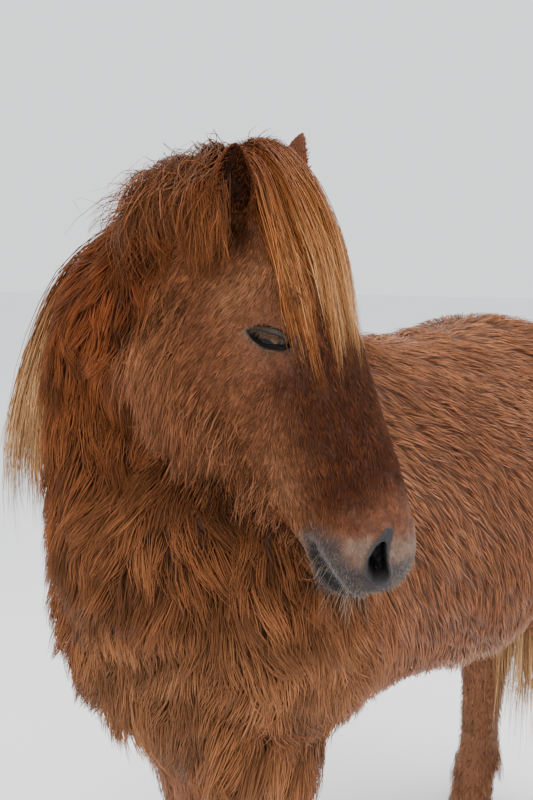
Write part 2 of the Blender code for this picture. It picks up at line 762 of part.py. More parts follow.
def body_nodes(whole):
    """Parts the whole flesh with thin cuts and names each piece by where it lies."""
    head = duplicate(whole)
    head.name = "head"
    head = largest(combine(head, [head_region("region", -GAP / 2)], "INTERSECT"))
    rest = combine(whole, [head_region("region", GAP / 2), *cut_sheets()], "DIFFERENCE")
    seeds = {
        "neck": Vector((-0.04, -0.60, 1.30)), "torso": Vector((0, 0.10, 1.00)),
        "foreleg_left": Vector((0.074, -0.555, 0.3)), "foreleg_right": Vector((-0.118, -0.445, 0.3)),
        "hindleg_left": Vector((0.134, 0.67, 0.3)), "hindleg_right": Vector((-0.120, 0.74, 0.3)),
    }
    found = {"head": head}
    for group in surfaces(rest)[:len(seeds)]:
        piece = part_of(rest, group, "piece")
        middle = sum((v.co for v in piece.data.vertices), Vector()) / len(piece.data.vertices)
        name = min(seeds, key=lambda n: (seeds[n] - middle).length)
        piece.name = name
        found[name] = piece
    bpy.data.objects.remove(rest)
    return found


LOOKS = {
    "coat": ((0.30, 0.115, 0.045), 0.75),
    "hair": ((0.55, 0.33, 0.16), 0.6),
    "horn": ((0.16, 0.12, 0.09), 0.5),
    "eye": ((0.03, 0.018, 0.012), 0.08),
}


def give_material(obj, look):
    colour, roughness = LOOKS[look]
    made = bpy.data.materials.new(obj.name)
    made.use_nodes = True
    shader = made.node_tree.nodes["Principled BSDF"]
    shader.inputs["Base Color"].default_value = (*colour, 1)
    shader.inputs["Roughness"].default_value = roughness
    obj.data.materials.clear()
    obj.data.materials.append(made)


def place(objects):
    """Puts the model in its collection, its box centred over the origin and its base at z 0."""
    home = bpy.data.collections.new("icelandic_horse")
    bpy.context.scene.collection.children.link(home)
    points = np.vstack([np.array([tuple(v.co) for v in o.data.vertices]) for o in objects])
    low, high = points.min(0), points.max(0)
    shift = Vector((-(low[0] + high[0]) / 2, -(low[1] + high[1]) / 2, -low[2]))
    for obj in objects:
        obj.data.transform(Matrix.Translation(shift))
        bpy.context.scene.collection.objects.unlink(obj)
        home.objects.link(obj)


def main():
    for obj in list(bpy.data.objects):
        bpy.data.objects.remove(obj)
    body = flesh()
    ears = [ear_form("ear_blank", side) for side in (1, -1)]
    coat = Coat([body] + ears, 7)
    for part in (neck_coat, chest_coat, mane, forelock, beard, feathers):
        part(coat)
    for blank in ears:
        bpy.data.objects.remove(blank)
    whole = thin_out(body, BODY_TRIANGLES)
    tail = make_object("tail", *loft(tail_stations(), 12, 10))
    hair = Coat([tail], 11)
    tail_hair(hair)
    tail = combine(tail, hair.locks, "UNION")
    tail = largest(combine(tail, [swollen(whole, GAP)], "DIFFERENCE"))
    whole = combine(whole, lids(1) + lids(-1) + coat.locks, "UNION")
    cutters = nostrils_and_mouth() + [box("ground", (-1, -1, -1), (1, 1, HOOF_HEIGHT + GAP))]
    for side in (1, -1):
        cutters.append(ear_form("ear_seat", side, grow=GAP))
        cutters.append(eyeball("socket", side, EYE_RADIUS + GAP))
    whole = combine(whole, cutters, "DIFFERENCE")
    nodes = body_nodes(whole)
    nodes["tail"] = tail
    for side, word in ((1, "left"), (-1, "right")):
        nodes["ear_" + word] = ear(side, "ear_" + word)
        nodes["eye_" + word] = eyeball("eye_" + word, side, EYE_RADIUS)
        nodes["hoof_fore_" + word] = hoof("hoof_fore_" + word, foreleg_stations(side))
        nodes["hoof_hind_" + word] = hoof("hoof_hind_" + word, hindleg_stations(side))
    for name, obj in nodes.items():
        look = {"eye": "eye", "hoof": "horn", "tail": "hair"}.get(name.split("_")[0], "coat")
        give_material(obj, look)
    place(list(nodes.values()))


if __name__ == "__main__":
    main()
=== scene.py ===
"""The looks of a standing Icelandic horse in its winter coat, life size.

Metres, +Z up. The horse faces -Y and its left side is at +X. The masses are the ones that the
solids are lofted from. One skin is fused from them, shaped on the head, and the coat grows on it.
"""

import json
import math
import random
from contextlib import contextmanager

import bmesh
import bpy
import numpy as np
from mathutils import Matrix, Vector
from mathutils.bvhtree import BVHTree
from mathutils.kdtree import KDTree

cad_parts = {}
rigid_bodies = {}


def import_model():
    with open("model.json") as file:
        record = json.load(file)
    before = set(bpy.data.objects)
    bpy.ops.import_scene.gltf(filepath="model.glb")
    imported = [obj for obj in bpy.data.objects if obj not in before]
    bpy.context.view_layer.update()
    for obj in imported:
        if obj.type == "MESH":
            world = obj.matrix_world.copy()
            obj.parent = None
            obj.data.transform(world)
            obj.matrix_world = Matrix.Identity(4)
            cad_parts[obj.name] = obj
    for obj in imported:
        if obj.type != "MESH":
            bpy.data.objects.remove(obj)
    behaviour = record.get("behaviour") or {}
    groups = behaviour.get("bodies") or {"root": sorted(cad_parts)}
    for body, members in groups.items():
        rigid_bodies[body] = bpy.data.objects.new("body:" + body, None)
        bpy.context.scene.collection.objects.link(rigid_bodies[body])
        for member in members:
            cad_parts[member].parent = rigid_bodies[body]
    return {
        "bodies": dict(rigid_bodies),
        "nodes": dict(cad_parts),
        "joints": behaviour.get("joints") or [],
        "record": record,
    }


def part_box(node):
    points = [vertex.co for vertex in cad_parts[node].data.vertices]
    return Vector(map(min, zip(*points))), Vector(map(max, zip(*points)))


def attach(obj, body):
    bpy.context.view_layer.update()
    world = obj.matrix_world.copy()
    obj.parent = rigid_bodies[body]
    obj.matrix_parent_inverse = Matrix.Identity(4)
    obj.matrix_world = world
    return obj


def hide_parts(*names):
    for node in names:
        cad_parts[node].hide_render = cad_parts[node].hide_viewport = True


# Driving sizes, in metres and radians
VOXEL = 0.0104
SHRINK, SWELL = 0.5, -0.53
POLL = Vector((0.139, -0.620, 1.609))
HEAD_YAW = math.radians(98)
HEAD_PITCH = math.radians(27)
HEAD_ROLL = math.radians(-3.5)

EYE_RADIUS = 0.0185
EYE_CENTRE = (0.0755, -0.030, 0.205)
EYE_SLIT = (0.665, 0.747)

EAR_ROOT = (0.060, -0.045, 0.050)
EAR_TIPS = {1: (0.080, 0.052, -0.056), -1: (-0.078, 0.024, -0.029)}
EAR_MOUTHS = {1: (0.90, 0.28, 0.30), -1: (-0.55, 0.60, 0.40)}

HOOF_HEIGHT = 0.045
PATCH = 0.003
FLATNESS = 0.55
DOWN = Vector((0, 0, -1))
FLESH = ("head", "neck", "torso", "foreleg_left", "foreleg_right", "hindleg_left", "hindleg_right")
SIDES = {1: "left", -1: "right"}

# Camera
LENS = 45.0
LONG_SIDE = 36.0
CAMERA_PLACE = Vector((0.92, -1.68, 1.52))
CAMERA_YAW = math.radians(36)
CAMERA_DOWN = math.radians(8.4)

# Sizes round the eye
EYE_OPENING = (0.0283, 0.0092)
OPENING_SHIFT = 0.0033
NEAR_THE_EYE = 0.035
SKIN_PLANE = 0.0105
LID_REACH = (-0.0315, 0.0250)
LID_STEPS = 41
LASH_COUNT = 110

# Counts and shares
ROOM_LIGHT = 1.45
FLOOR_SIZE = 60
DOCK_SHARE = 0.52
# Long hair lies this high on the coat at least, hangs free from there on, and starts this deep
HAIR_HEIGHT = 0.004
FREE_HEIGHT = 0.12
ROOT_DEPTH = 0.008
EAR_BULGE = 0.006
HOOF_RINGS = 26
HOOF_SIDES = 40
FLOOR_DROP = 0.0005
NOISE_PRIMES = np.array([73856093, 19349663, 83492791])

# Colours of coat and skin
CHESTNUT = np.array((0.166, 0.050, 0.0165))
CHEST_BROWN = np.array((0.205, 0.090, 0.0400))
FACE_BROWN = np.array((0.155, 0.053, 0.0205))
CHEEK_BROWN = np.array((0.168, 0.066, 0.0310))
FACE_GOLD = np.array((0.260, 0.120, 0.0580))
BRIDGE_BROWN = np.array((0.036, 0.0085, 0.0036))
BARREL_BROWN = np.array((0.215, 0.088, 0.044))
BELLY_PALE = np.array((0.310, 0.180, 0.122))
MUZZLE_TAN = np.array((0.212, 0.140, 0.100))
SKIN_GREY = np.array((0.015, 0.0145, 0.0160))
LID_BROWN = np.array((0.062, 0.050, 0.042))
LID_OLIVE = np.array((0.115, 0.090, 0.062))
LIP_PALE = np.array((0.200, 0.200, 0.205))
LEG_BROWN = np.array((0.300, 0.132, 0.066))
FLAXEN = np.array((0.470, 0.225, 0.085))
PALE_FLAXEN = np.array((0.800, 0.530, 0.270))
POLL_BROWN = np.array((0.180, 0.060, 0.021))
WHISKER = np.array((0.36, 0.28, 0.22))
AUBURN = np.array((0.095, 0.022, 0.006))
GOLD = np.array((0.235, 0.080, 0.021))
# Painted shadow: the dark place under each ear, where its hollow lies in shade
PAINTED_EAR_SHADOW = (0.068, -0.018, 0.058)
LIP_SHADE = 0.70
TIP_GLOW = np.array((0.020, 0.009, 0.003))
WARM_GLINT = (1.0, 0.74, 0.50, 1.0)
IRIS_BROWN = np.array((0.138, 0.070, 0.040))
PUPIL_BLACK = np.array((0.003, 0.003, 0.004))
IRIS_RIM = np.array((0.020, 0.014, 0.012))
EYE_WHITE = np.array((0.150, 0.110, 0.095))
LASH_BROWN = (0.035, 0.020, 0.014)
WET_EDGE = (0.0035, 0.0035, 0.0038)
LID_MIDDLE = (0.026, 0.021, 0.017)
UPPER_LID_SHADES = (WET_EDGE, WET_EDGE, LID_MIDDLE, (0.042, 0.033, 0.026), (0.048, 0.038, 0.030),
                    (0.036, 0.028, 0.022), (0.010, 0.008, 0.007), (0.005, 0.004, 0.004),
                    (0.005, 0.004, 0.004))
LOWER_LID_SHADES = (WET_EDGE, WET_EDGE, WET_EDGE, WET_EDGE, (0.007, 0.006, 0.006), LID_MIDDLE, LID_MIDDLE,
                    LID_MIDDLE)

# The neck's cross-sections and lines of the head, where its hair grows and falls
NECK_ROWS = (
    # crest point, throat point, half width
    ((0.000, -0.160, 1.350), (0.000, -0.560, 0.840), 0.200),
    ((-0.015, -0.330, 1.400), (-0.050, -0.715, 0.950), 0.205),
    ((-0.055, -0.440, 1.455), (-0.090, -0.755, 1.080), 0.152),
    ((-0.070, -0.530, 1.525), (-0.090, -0.735, 1.210), 0.116),
    ((-0.030, -0.605, 1.590), (-0.060, -0.700, 1.330), 0.100),
    ((0.050, -0.630, 1.618), (0.000, -0.645, 1.390), 0.095),
    ((0.135, -0.620, 1.615), (0.085, -0.625, 1.420), 0.086),
)
EAR_ROWS = (
    # part of the length, radius, half of the arc that the shell covers, in degrees
    (0.00, 0.0200, 165), (0.10, 0.0225, 150), (0.25, 0.0255, 128), (0.45, 0.0265, 112),
    (0.62, 0.0240, 100), (0.78, 0.0185, 88), (0.90, 0.0115, 76), (0.97, 0.0055, 62), (1.00, 0.0015, 50),
)
MOUTH_LINE = ((0.047, -0.101, 0.446), (0.052, -0.098, 0.458), (0.055, -0.094, 0.474),
              (0.056, -0.090, 0.492), (0.053, -0.087, 0.508), (0.044, -0.086, 0.524),
              (0.022, -0.087, 0.538), (0.000, -0.088, 0.545))
NOSTRIL_LINE = ((0.044, 0.001, 0.474), (0.049, -0.008, 0.481), (0.052, -0.019, 0.490),
                (0.053, -0.027, 0.500), (0.053, -0.031, 0.510), (0.052, -0.031, 0.519))
FOLD_SPOTS = (
    # height, centre and radii: over the eye, under it, the hollow of the temple and the cheek
    (-0.003, (0.078, 0.004, 0.160), (0.020, 0.014, 0.022)),
    (0.0020, (0.086, -0.062, 0.222), (0.015, 0.012, 0.026)),
    (-0.006, (0.064, 0.014, 0.115), (0.020, 0.020, 0.024)),
    (0.005, (0.092, -0.150, 0.190), (0.030, 0.065, 0.060)),
)
GOLD_AND_HIGHLIGHT_SPOTS = (
    # lighter golden coat, partly painted highlight; share, centre and radii: between cheek and muzzle,
    # between eye and ear, and at the throat
    (1.0, (0.060, -0.105, 0.365), (0.030, 0.036, 0.050)),
    (0.8, (0.080, -0.035, 0.130), (0.030, 0.040, 0.035)),
    (0.3, (0.085, -0.180, 0.080), (0.040, 0.040, 0.080)),
)
CREST_LINE = ((0.084, -0.062, 0.240), (0.074, -0.068, 0.300), (0.062, -0.068, 0.365))
FORELOCK_LINES = (
    # to the right, over the brow's middle and to the left, in the head's frame
    ((-0.022, 0.000, -0.046), (-0.044, 0.014, 0.002), (-0.056, 0.010, 0.066), (-0.070, 0.004, 0.138),
     (-0.083, -0.006, 0.205), (-0.085, -0.012, 0.265), (-0.080, -0.022, 0.325)),
    ((0.000, -0.010, -0.054), (0.000, 0.044, -0.026), (0.000, 0.066, 0.042), (-0.002, 0.066, 0.108),
     (-0.008, 0.056, 0.165), (-0.020, 0.043, 0.235), (-0.034, 0.026, 0.310)),
    ((0.018, -0.010, -0.050), (0.040, 0.032, -0.022), (0.058, 0.046, 0.042), (0.068, 0.040, 0.110),
     (0.076, 0.020, 0.175), (0.080, 0.000, 0.240), (0.080, -0.012, 0.305)),
)
MANE_LINES = (
    # where it falls over the neck's right side, from behind the ears to the withers
    ((-0.060, -0.575, 1.562), (-0.112, -0.640, 1.545), (-0.156, -0.690, 1.485), (-0.198, -0.710, 1.395),
     (-0.242, -0.715, 1.295), (-0.278, -0.710, 1.185), (-0.290, -0.700, 1.070)),
    ((-0.060, -0.500, 1.500), (-0.120, -0.545, 1.500), (-0.190, -0.585, 1.430), (-0.230, -0.610, 1.340),
     (-0.258, -0.615, 1.245), (-0.272, -0.605, 1.160), (-0.276, -0.595, 1.085)),
    ((-0.045, -0.390, 1.430), (-0.105, -0.415, 1.435), (-0.185, -0.445, 1.380), (-0.235, -0.465, 1.290),
     (-0.258, -0.470, 1.200), (-0.262, -0.465, 1.120), (-0.258, -0.460, 1.060)),
)
EAR_LOCK_LINES = (
    # from behind an ear, past its outer edge and in front of it, in the left half of the head's frame
    ((0.055, -0.050, -0.012), (0.078, -0.046, -0.014), (0.088, -0.054, 0.000), (0.092, -0.066, 0.024),
     (0.092, -0.078, 0.050), (0.089, -0.092, 0.074), (0.085, -0.106, 0.096)),
    ((0.060, -0.030, -0.010), (0.082, -0.024, -0.008), (0.090, -0.034, 0.008), (0.094, -0.046, 0.032),
     (0.094, -0.057, 0.058), (0.091, -0.072, 0.083), (0.087, -0.088, 0.106)),
    ((0.064, -0.022, 0.004), (0.084, -0.012, 0.010), (0.092, -0.018, 0.030), (0.095, -0.026, 0.052),
     (0.094, -0.034, 0.074), (0.092, -0.042, 0.094), (0.090, -0.050, 0.112)),
)
POLL_LINES = (
    # behind the right ear, further back, and over the neck's first bend, in the head's frame
    ((-0.005, -0.020, -0.044), (-0.035, -0.025, -0.058), (-0.062, -0.035, -0.046), (-0.084, -0.060, -0.014),
     (-0.092, -0.078, 0.034), (-0.088, -0.090, 0.088)),
    ((-0.005, -0.065, -0.044), (-0.030, -0.078, -0.076), (-0.056, -0.088, -0.068), (-0.080, -0.110, -0.034),
     (-0.094, -0.122, 0.014), (-0.094, -0.120, 0.072)),
    ((0.005, -0.125, -0.036), (-0.026, -0.140, -0.080), (-0.052, -0.155, -0.062), (-0.076, -0.175, -0.022),
     (-0.094, -0.185, 0.030), (-0.098, -0.185, 0.090)),
)


def station(top, bottom, half_width, top_heavy=0.0, squareness=2.0):
    """One cross-section of a loft: a top point, a bottom point and the width between them."""
    return [*top, *bottom, half_width, top_heavy, squareness]


def smooth_rows(rows, rings):
    """Catmull-Rom interpolation of the stations' numbers, evenly in the station index."""
    rows = np.array(rows, float)
    first = 2 * rows[0] - rows[1]
    last = 2 * rows[-1] - rows[-2]
    padded = np.vstack([first, rows, last])
    out = []
    for t in np.linspace(0, len(rows) - 1, rings):
        i = min(int(t), len(rows) - 2)
        u = t - i
        a, b, c, d = padded[i:i + 4]
        out.append(0.5 * (2 * b + (c - a) * u + (2 * a - 5 * b + 4 * c - d) * u**2
                          + (3 * b - a - 3 * c + d) * u**3))
    return np.array(out)


def rounded(t, squareness):
    return np.sign(t) * np.abs(t) ** (2 / squareness)


def loft(stations, rings, sides):
    """Points and faces of a closed body through the stations, with a flat fan at each end."""
    rows = smooth_rows(stations, rings)
    tops, bottoms = rows[:, 0:3], rows[:, 3:6]
    centres, ups = (tops + bottoms) / 2, (tops - bottoms) / 2
    ahead = np.gradient(centres, axis=0)
    across = np.cross(ahead, ups)
    across /= np.linalg.norm(across, axis=1)[:, None]
    turn = np.linspace(0, 2 * math.pi, sides, endpoint=False)
    points = []
    for row, centre, up, side in zip(rows, centres, ups, across):
        half_width, heavy, square = row[6:9]
        high, wide = rounded(np.cos(turn), square), rounded(np.sin(turn), square)
        wide = wide * half_width * (1 + heavy * high)
        points.append(centre + high[:, None] * up + wide[:, None] * side)
    points = np.vstack(points + [centres[:1], centres[-1:]])
    return points, body_faces(rings, sides)


def strip_faces(rings, sides, closed=True):
    """Four-sided faces between each ring of points and the next."""
    faces = []
    for r in range(rings - 1):
        for k in range(sides if closed else sides - 1):
            a, b = r * sides + k, r * sides + (k + 1) % sides
            faces.append((a, b, b + sides, a + sides))
    return faces


def body_faces(rings, sides):
    """Faces of a closed body of rings, with a fan to each of the two end points that come last."""
    faces = strip_faces(rings, sides)
    start, last = rings * sides, (rings - 1) * sides
    for k in range(sides):
        n = (k + 1) % sides
        faces += [(start, n, k), (start + 1, last + k, last + n)]
    return faces


@contextmanager
def opened(mesh):
    """A mesh open for editing, and written back at the end."""
    made = bmesh.new()
    made.from_mesh(mesh)
    yield made
    made.to_mesh(mesh)
    made.free()


def placed(name, data):
    """An object in the scene."""
    obj = bpy.data.objects.new(name, data)
    bpy.context.scene.collection.objects.link(obj)
    return obj


def make_object(name, points, faces):
    mesh = bpy.data.meshes.new(name)
    mesh.from_pydata([tuple(p) for p in points], [], faces)
    with opened(mesh) as made:
        bmesh.ops.recalc_face_normals(made, faces=made.faces)
    return placed(name, mesh)


def torso_stations():
    rows = (
        # y, top z, bottom z, half width, top heavy, squareness
        (-0.715, 1.110, 0.890, 0.090, 0.0, 2.0),
        (-0.675, 1.210, 0.810, 0.215, 0.0, 2.1),
        (-0.540, 1.320, 0.770, 0.268, -0.05, 2.2),
        (-0.330, 1.385, 0.765, 0.262, -0.15, 2.2),
        (-0.130, 1.372, 0.740, 0.275, -0.10, 2.2),
        (0.070, 1.368, 0.700, 0.298, -0.08, 2.2),
        (0.260, 1.374, 0.690, 0.290, -0.02, 2.2),
        (0.400, 1.390, 0.750, 0.268, 0.0, 2.3),
        (0.540, 1.366, 0.850, 0.238, 0.0, 2.3),
        (0.650, 1.280, 0.920, 0.185, 0.0, 2.2),
        (0.715, 1.180, 1.000, 0.090, 0.0, 2.0),
    )
    return [station((-0.008, y, t), (-0.008, y, b), w, k, n) for y, t, b, w, k, n in rows]


def neck_stations():
    return [station(c, t, w, -0.25, 2.0) for c, t, w in NECK_ROWS]


def head_matrix():
    """The head's own frame: +X to its left, +Y out of the forehead, +Z down to the muzzle."""
    facing = Vector((math.sin(HEAD_YAW), -math.cos(HEAD_YAW), 0))
    along = facing * math.sin(HEAD_PITCH) - Vector((0, 0, math.cos(HEAD_PITCH)))
    out = facing * math.cos(HEAD_PITCH) + Vector((0, 0, math.sin(HEAD_PITCH)))
    left = Vector((0, 0, 1)).cross(facing)
    turn = Matrix.Rotation(HEAD_ROLL, 3, facing)
    frame = Matrix((turn @ left, turn @ out, turn @ along)).transposed().to_4x4()
    return Matrix.Translation(POLL) @ frame


HEAD = head_matrix()
HEAD_TURN = HEAD.to_3x3()
HEAD_AXES = np.array(HEAD_TURN)
HEAD_INVERSE = HEAD.inverted()


def head_stations():
    rows = (
        # along, forehead side, jaw side, half width, top heavy, squareness
        (-0.020, -0.030, -0.100, 0.040, 0.0, 2.0),
        (0.015, 0.000, -0.150, 0.062, 0.0, 2.1),
        (0.080, 0.022, -0.200, 0.080, 0.1, 2.2),
        (0.150, 0.034, -0.245, 0.090, 0.2, 2.3),
        (0.210, 0.036, -0.250, 0.091, 0.2, 2.4),
        (0.280, 0.030, -0.222, 0.082, 0.2, 2.4),
        (0.350, 0.024, -0.178, 0.068, 0.15, 2.3),
        (0.420, 0.020, -0.143, 0.058, 0.1, 2.4),
        (0.470, 0.016, -0.128, 0.058, 0.05, 2.5),
        (0.510, 0.008, -0.122, 0.058, 0.0, 2.6),
        (0.538, -0.012, -0.110, 0.050, 0.0, 2.4),
        (0.552, -0.036, -0.092, 0.030, 0.0, 2.0),
    )
    return [station(HEAD @ Vector((0, f, s)), HEAD @ Vector((0, j, s)), w, k, n)
            for s, f, j, w, k, n in rows]


def foreleg_stations(side):
    ahead = 0.055 * side
    inward = -0.022
    rows = (
        # z, x, front y, back y, half width
        (1.050, 0.080, -0.600, -0.420, 0.030),
        (0.960, 0.100, -0.655, -0.370, 0.092),
        (0.860, 0.112, -0.650, -0.370, 0.105),
        (0.760, 0.106, -0.620, -0.390, 0.092),
        (0.660, 0.100, -0.590, -0.415, 0.076),
        (0.540, 0.098, -0.565, -0.440, 0.062),
        (0.440, 0.096, -0.560, -0.452, 0.056),
        (0.390, 0.096, -0.555, -0.455, 0.052),
        (0.300, 0.096, -0.545, -0.455, 0.044),
        (0.200, 0.096, -0.545, -0.440, 0.048),
        (0.150, 0.096, -0.552, -0.430, 0.054),
        (0.100, 0.096, -0.562, -0.450, 0.054),
        (0.060, 0.096, -0.577, -0.460, 0.056),
        (0.030, 0.096, -0.582, -0.462, 0.058),
    )
    return [station((side * x + inward, f - ahead, z), (side * x + inward, b - ahead, z), w, 0, 2.2)
            for z, x, f, b, w in rows]


def hindleg_stations(side):
    back_step = 0.035 - 0.03 * side
    inward = 0.008 - 0.008 * side
    rows = (
        # x, front point (y, z), back point (y, z), half width
        (0.080, (0.420, 1.220), (0.600, 1.250), 0.020),
        (0.115, (0.350, 1.120), (0.705, 1.150), 0.095),
        (0.136, (0.315, 1.000), (0.742, 1.050), 0.122),
        (0.150, (0.330, 0.860), (0.755, 0.920), 0.122),
        (0.148, (0.400, 0.740), (0.745, 0.790), 0.106),
        (0.144, (0.475, 0.640), (0.755, 0.680), 0.090),
        (0.140, (0.555, 0.540), (0.790, 0.580), 0.077),
        (0.138, (0.605, 0.460), (0.795, 0.490), 0.070),
        (0.136, (0.620, 0.385), (0.770, 0.390), 0.060),
        (0.134, (0.615, 0.300), (0.740, 0.300), 0.053),
        (0.134, (0.610, 0.200), (0.730, 0.200), 0.052),
        (0.134, (0.595, 0.150), (0.730, 0.150), 0.057),
        (0.134, (0.580, 0.100), (0.700, 0.100), 0.054),
        (0.134, (0.565, 0.060), (0.690, 0.060), 0.057),
        (0.134, (0.560, 0.030), (0.690, 0.030), 0.059),
    )
    return [station((side * x + inward, f[0] + back_step, f[1]),
                    (side * x + inward, b[0] + back_step, b[1]), w, 0, 2.2)
            for x, f, b, w in rows]


def ellipsoid(centre, radii, frame=HEAD):
    """Points and faces of an ellipsoid, placed by a frame."""
    rings, sides = 8, 12
    points = []
    for r in range(1, rings):
        polar = math.pi * r / rings
        for k in range(sides):
            turn = 2 * math.pi * k / sides
            points.append(Vector((math.sin(polar) * math.cos(turn) * radii[0],
                                  math.sin(polar) * math.sin(turn) * radii[1],
                                  math.cos(polar) * radii[2])) + Vector(centre))
    pole = Vector((0, 0, radii[2]))
    points += [Vector(centre) + pole, Vector(centre) - pole]
    return np.array([tuple(frame @ p) for p in points]), body_faces(rings - 1, sides)


def head_masses():
    """Chin, poll, cheeks, brows and lips in the head's frame, and the throat's fill behind the jaw."""
    found = [ellipsoid((0, -0.118, 0.500), (0.034, 0.024, 0.036)),
             ellipsoid((0.004, -0.004, -0.010), (0.044, 0.046, 0.060))]
    for side in (1, -1):
        found += [ellipsoid((side * 0.050, -0.150, 0.195), (0.040, 0.116, 0.110)),
                  ellipsoid((side * 0.064, -0.004, 0.172), (0.021, 0.032, 0.044)),
                  ellipsoid((side * 0.040, -0.040, 0.500), (0.026, 0.036, 0.040))]
    return found + [ellipsoid((-0.020, -0.665, 1.400), (0.080, 0.085, 0.120), Matrix())]


def joined(pieces):
    """One set of points and faces from several."""
    points, faces, start = [], [], 0
    for p, f in pieces:
        points.append(p)
        faces += [tuple(i + start for i in face) for face in f]
        start += len(p)
    return np.vstack(points), faces


def evaluated_copy(obj):
    """A new mesh object of obj as its modifiers leave it; obj is removed."""
    name = obj.name
    graph = bpy.context.evaluated_depsgraph_get()
    made = placed(name, bpy.data.meshes.new_from_object(obj.evaluated_get(graph)))
    bpy.data.objects.remove(obj)
    made.name = name
    return made


def thickened(obj, thickness):
    """A surface given a wall, half of it to each side."""
    wall = obj.modifiers.new("Wall", "SOLIDIFY")
    wall.thickness = thickness
    wall.offset = 0.0
    return evaluated_copy(obj)


def unit(vectors):
    return vectors / np.maximum(np.linalg.norm(vectors, axis=-1, keepdims=True), 1e-9)


def fade(low, high, value):
    """0 below low, 1 above high and smooth between; low may be the greater one."""
    t = np.clip((value - low) / (high - low), 0, 1)
    return t * t * (3 - 2 * t)


def spot(points, centre, radii):
    """1 at a centre, fading out over the radii."""
    return np.exp(-(((points - np.array(centre)) / np.array(radii)) ** 2).sum(-1))


def spots(points, rows):
    return sum(height * spot(points, centre, radii) for height, centre, radii in rows)


def along_path(points, path):
    """The distance to a path, and the part of it where the nearest point lies."""
    path = np.array(path, float)
    best = np.full(len(points), 1e9)
    part = np.zeros(len(points))
    for i in range(len(path) - 1):
        a, b = path[i], path[i + 1]
        t = np.clip(((points - a) @ (b - a)) / ((b - a) @ (b - a)), 0, 1)
        far = np.linalg.norm(points - a - t[:, None] * (b - a), axis=1)
        closer = far < best
        best[closer] = far[closer]
        part[closer] = (i + t[closer]) / (len(path) - 1)
    return best, part


def carried(matrix, points):
    """Points through a 4 x 4 matrix."""
    m = np.array(matrix)
    return points @ m[:3, :3].T + m[:3, 3]


def lattice_noise(points, size, seed=0):
    """Smooth noise from -1 to 1, with swells about one size across."""
    place = points / size + seed * 7.31
    cell = np.floor(place).astype(np.int64)
    part = place - cell
    part = part * part * (3 - 2 * part)
    total = np.zeros(len(points))
    for corner in range(8):
        step = np.array([corner & 1, corner >> 1 & 1, corner >> 2])
        n = (cell + step) @ NOISE_PRIMES + seed * 6542989
        n = (n ^ (n >> 13)) * 1274126177
        value = ((n ^ (n >> 16)) & 0xFFFF) / 32767.5 - 1
        weight = np.prod(np.where(step, part, 1 - part), axis=1)
        total += weight * value
    return total

def eye_frame(side):
    """At the eyeball's centre: X outward, Y along the slit to the inner corner, Z to the brow."""
    slit = Vector((0, EYE_SLIT[1], EYE_SLIT[0])).normalized()
    outward = Vector((side, 0, 0))
    brow = Vector((0, EYE_SLIT[0], -EYE_SLIT[1])).normalized()
    turn = Matrix((outward, slit, brow)).transposed().to_4x4()
    centre = Vector((side * EYE_CENTRE[0], EYE_CENTRE[1], EYE_CENTRE[2]))
    return HEAD @ Matrix.Translation(centre) @ turn


def lid_ground(along, up):
    """The height of globe or skin, whichever is higher, out of the eye's middle."""
    ball = math.sqrt(max(EYE_RADIUS ** 2 - along ** 2 - up ** 2, 0.0))
    plane = SKIN_PLANE - 0.10 * max(abs(along) - 0.018, 0) - 0.004 * (abs(up) / 0.03) ** 2
    return (ball ** 6 + plane ** 6) ** (1 / 6)


def round_the_eye(points):
    """How far outside the lids' oval points lie, how far forward and up, and how far from the
    oval's middle, with 1 at the lids' edge; all at the nearer eye."""
    gap, oval = np.full(len(points), 1.0), np.full(len(points), 9.0)
    forward, up = np.zeros(len(points)), np.zeros(len(points))
    for side in (1, -1):
        place = carried(eye_frame(side).inverted(), points)
        place[:, 1] += OPENING_SHIFT
        near = np.abs(place[:, 0]) < NEAR_THE_EYE
        size = np.hypot(place[:, 1] / EYE_OPENING[0], place[:, 2] / EYE_OPENING[1])
        oval = np.minimum(oval, np.where(near, size, 9.0))
        size += 1e-6
        own = (size - 1) / size * np.hypot(place[:, 1], place[:, 2])
        closer = near & (own < gap)
        gap = np.where(closer, own, gap)
        forward = np.where(closer, place[:, 1], forward)
        up = np.where(closer, place[:, 2], up)
    return gap, forward, up, oval


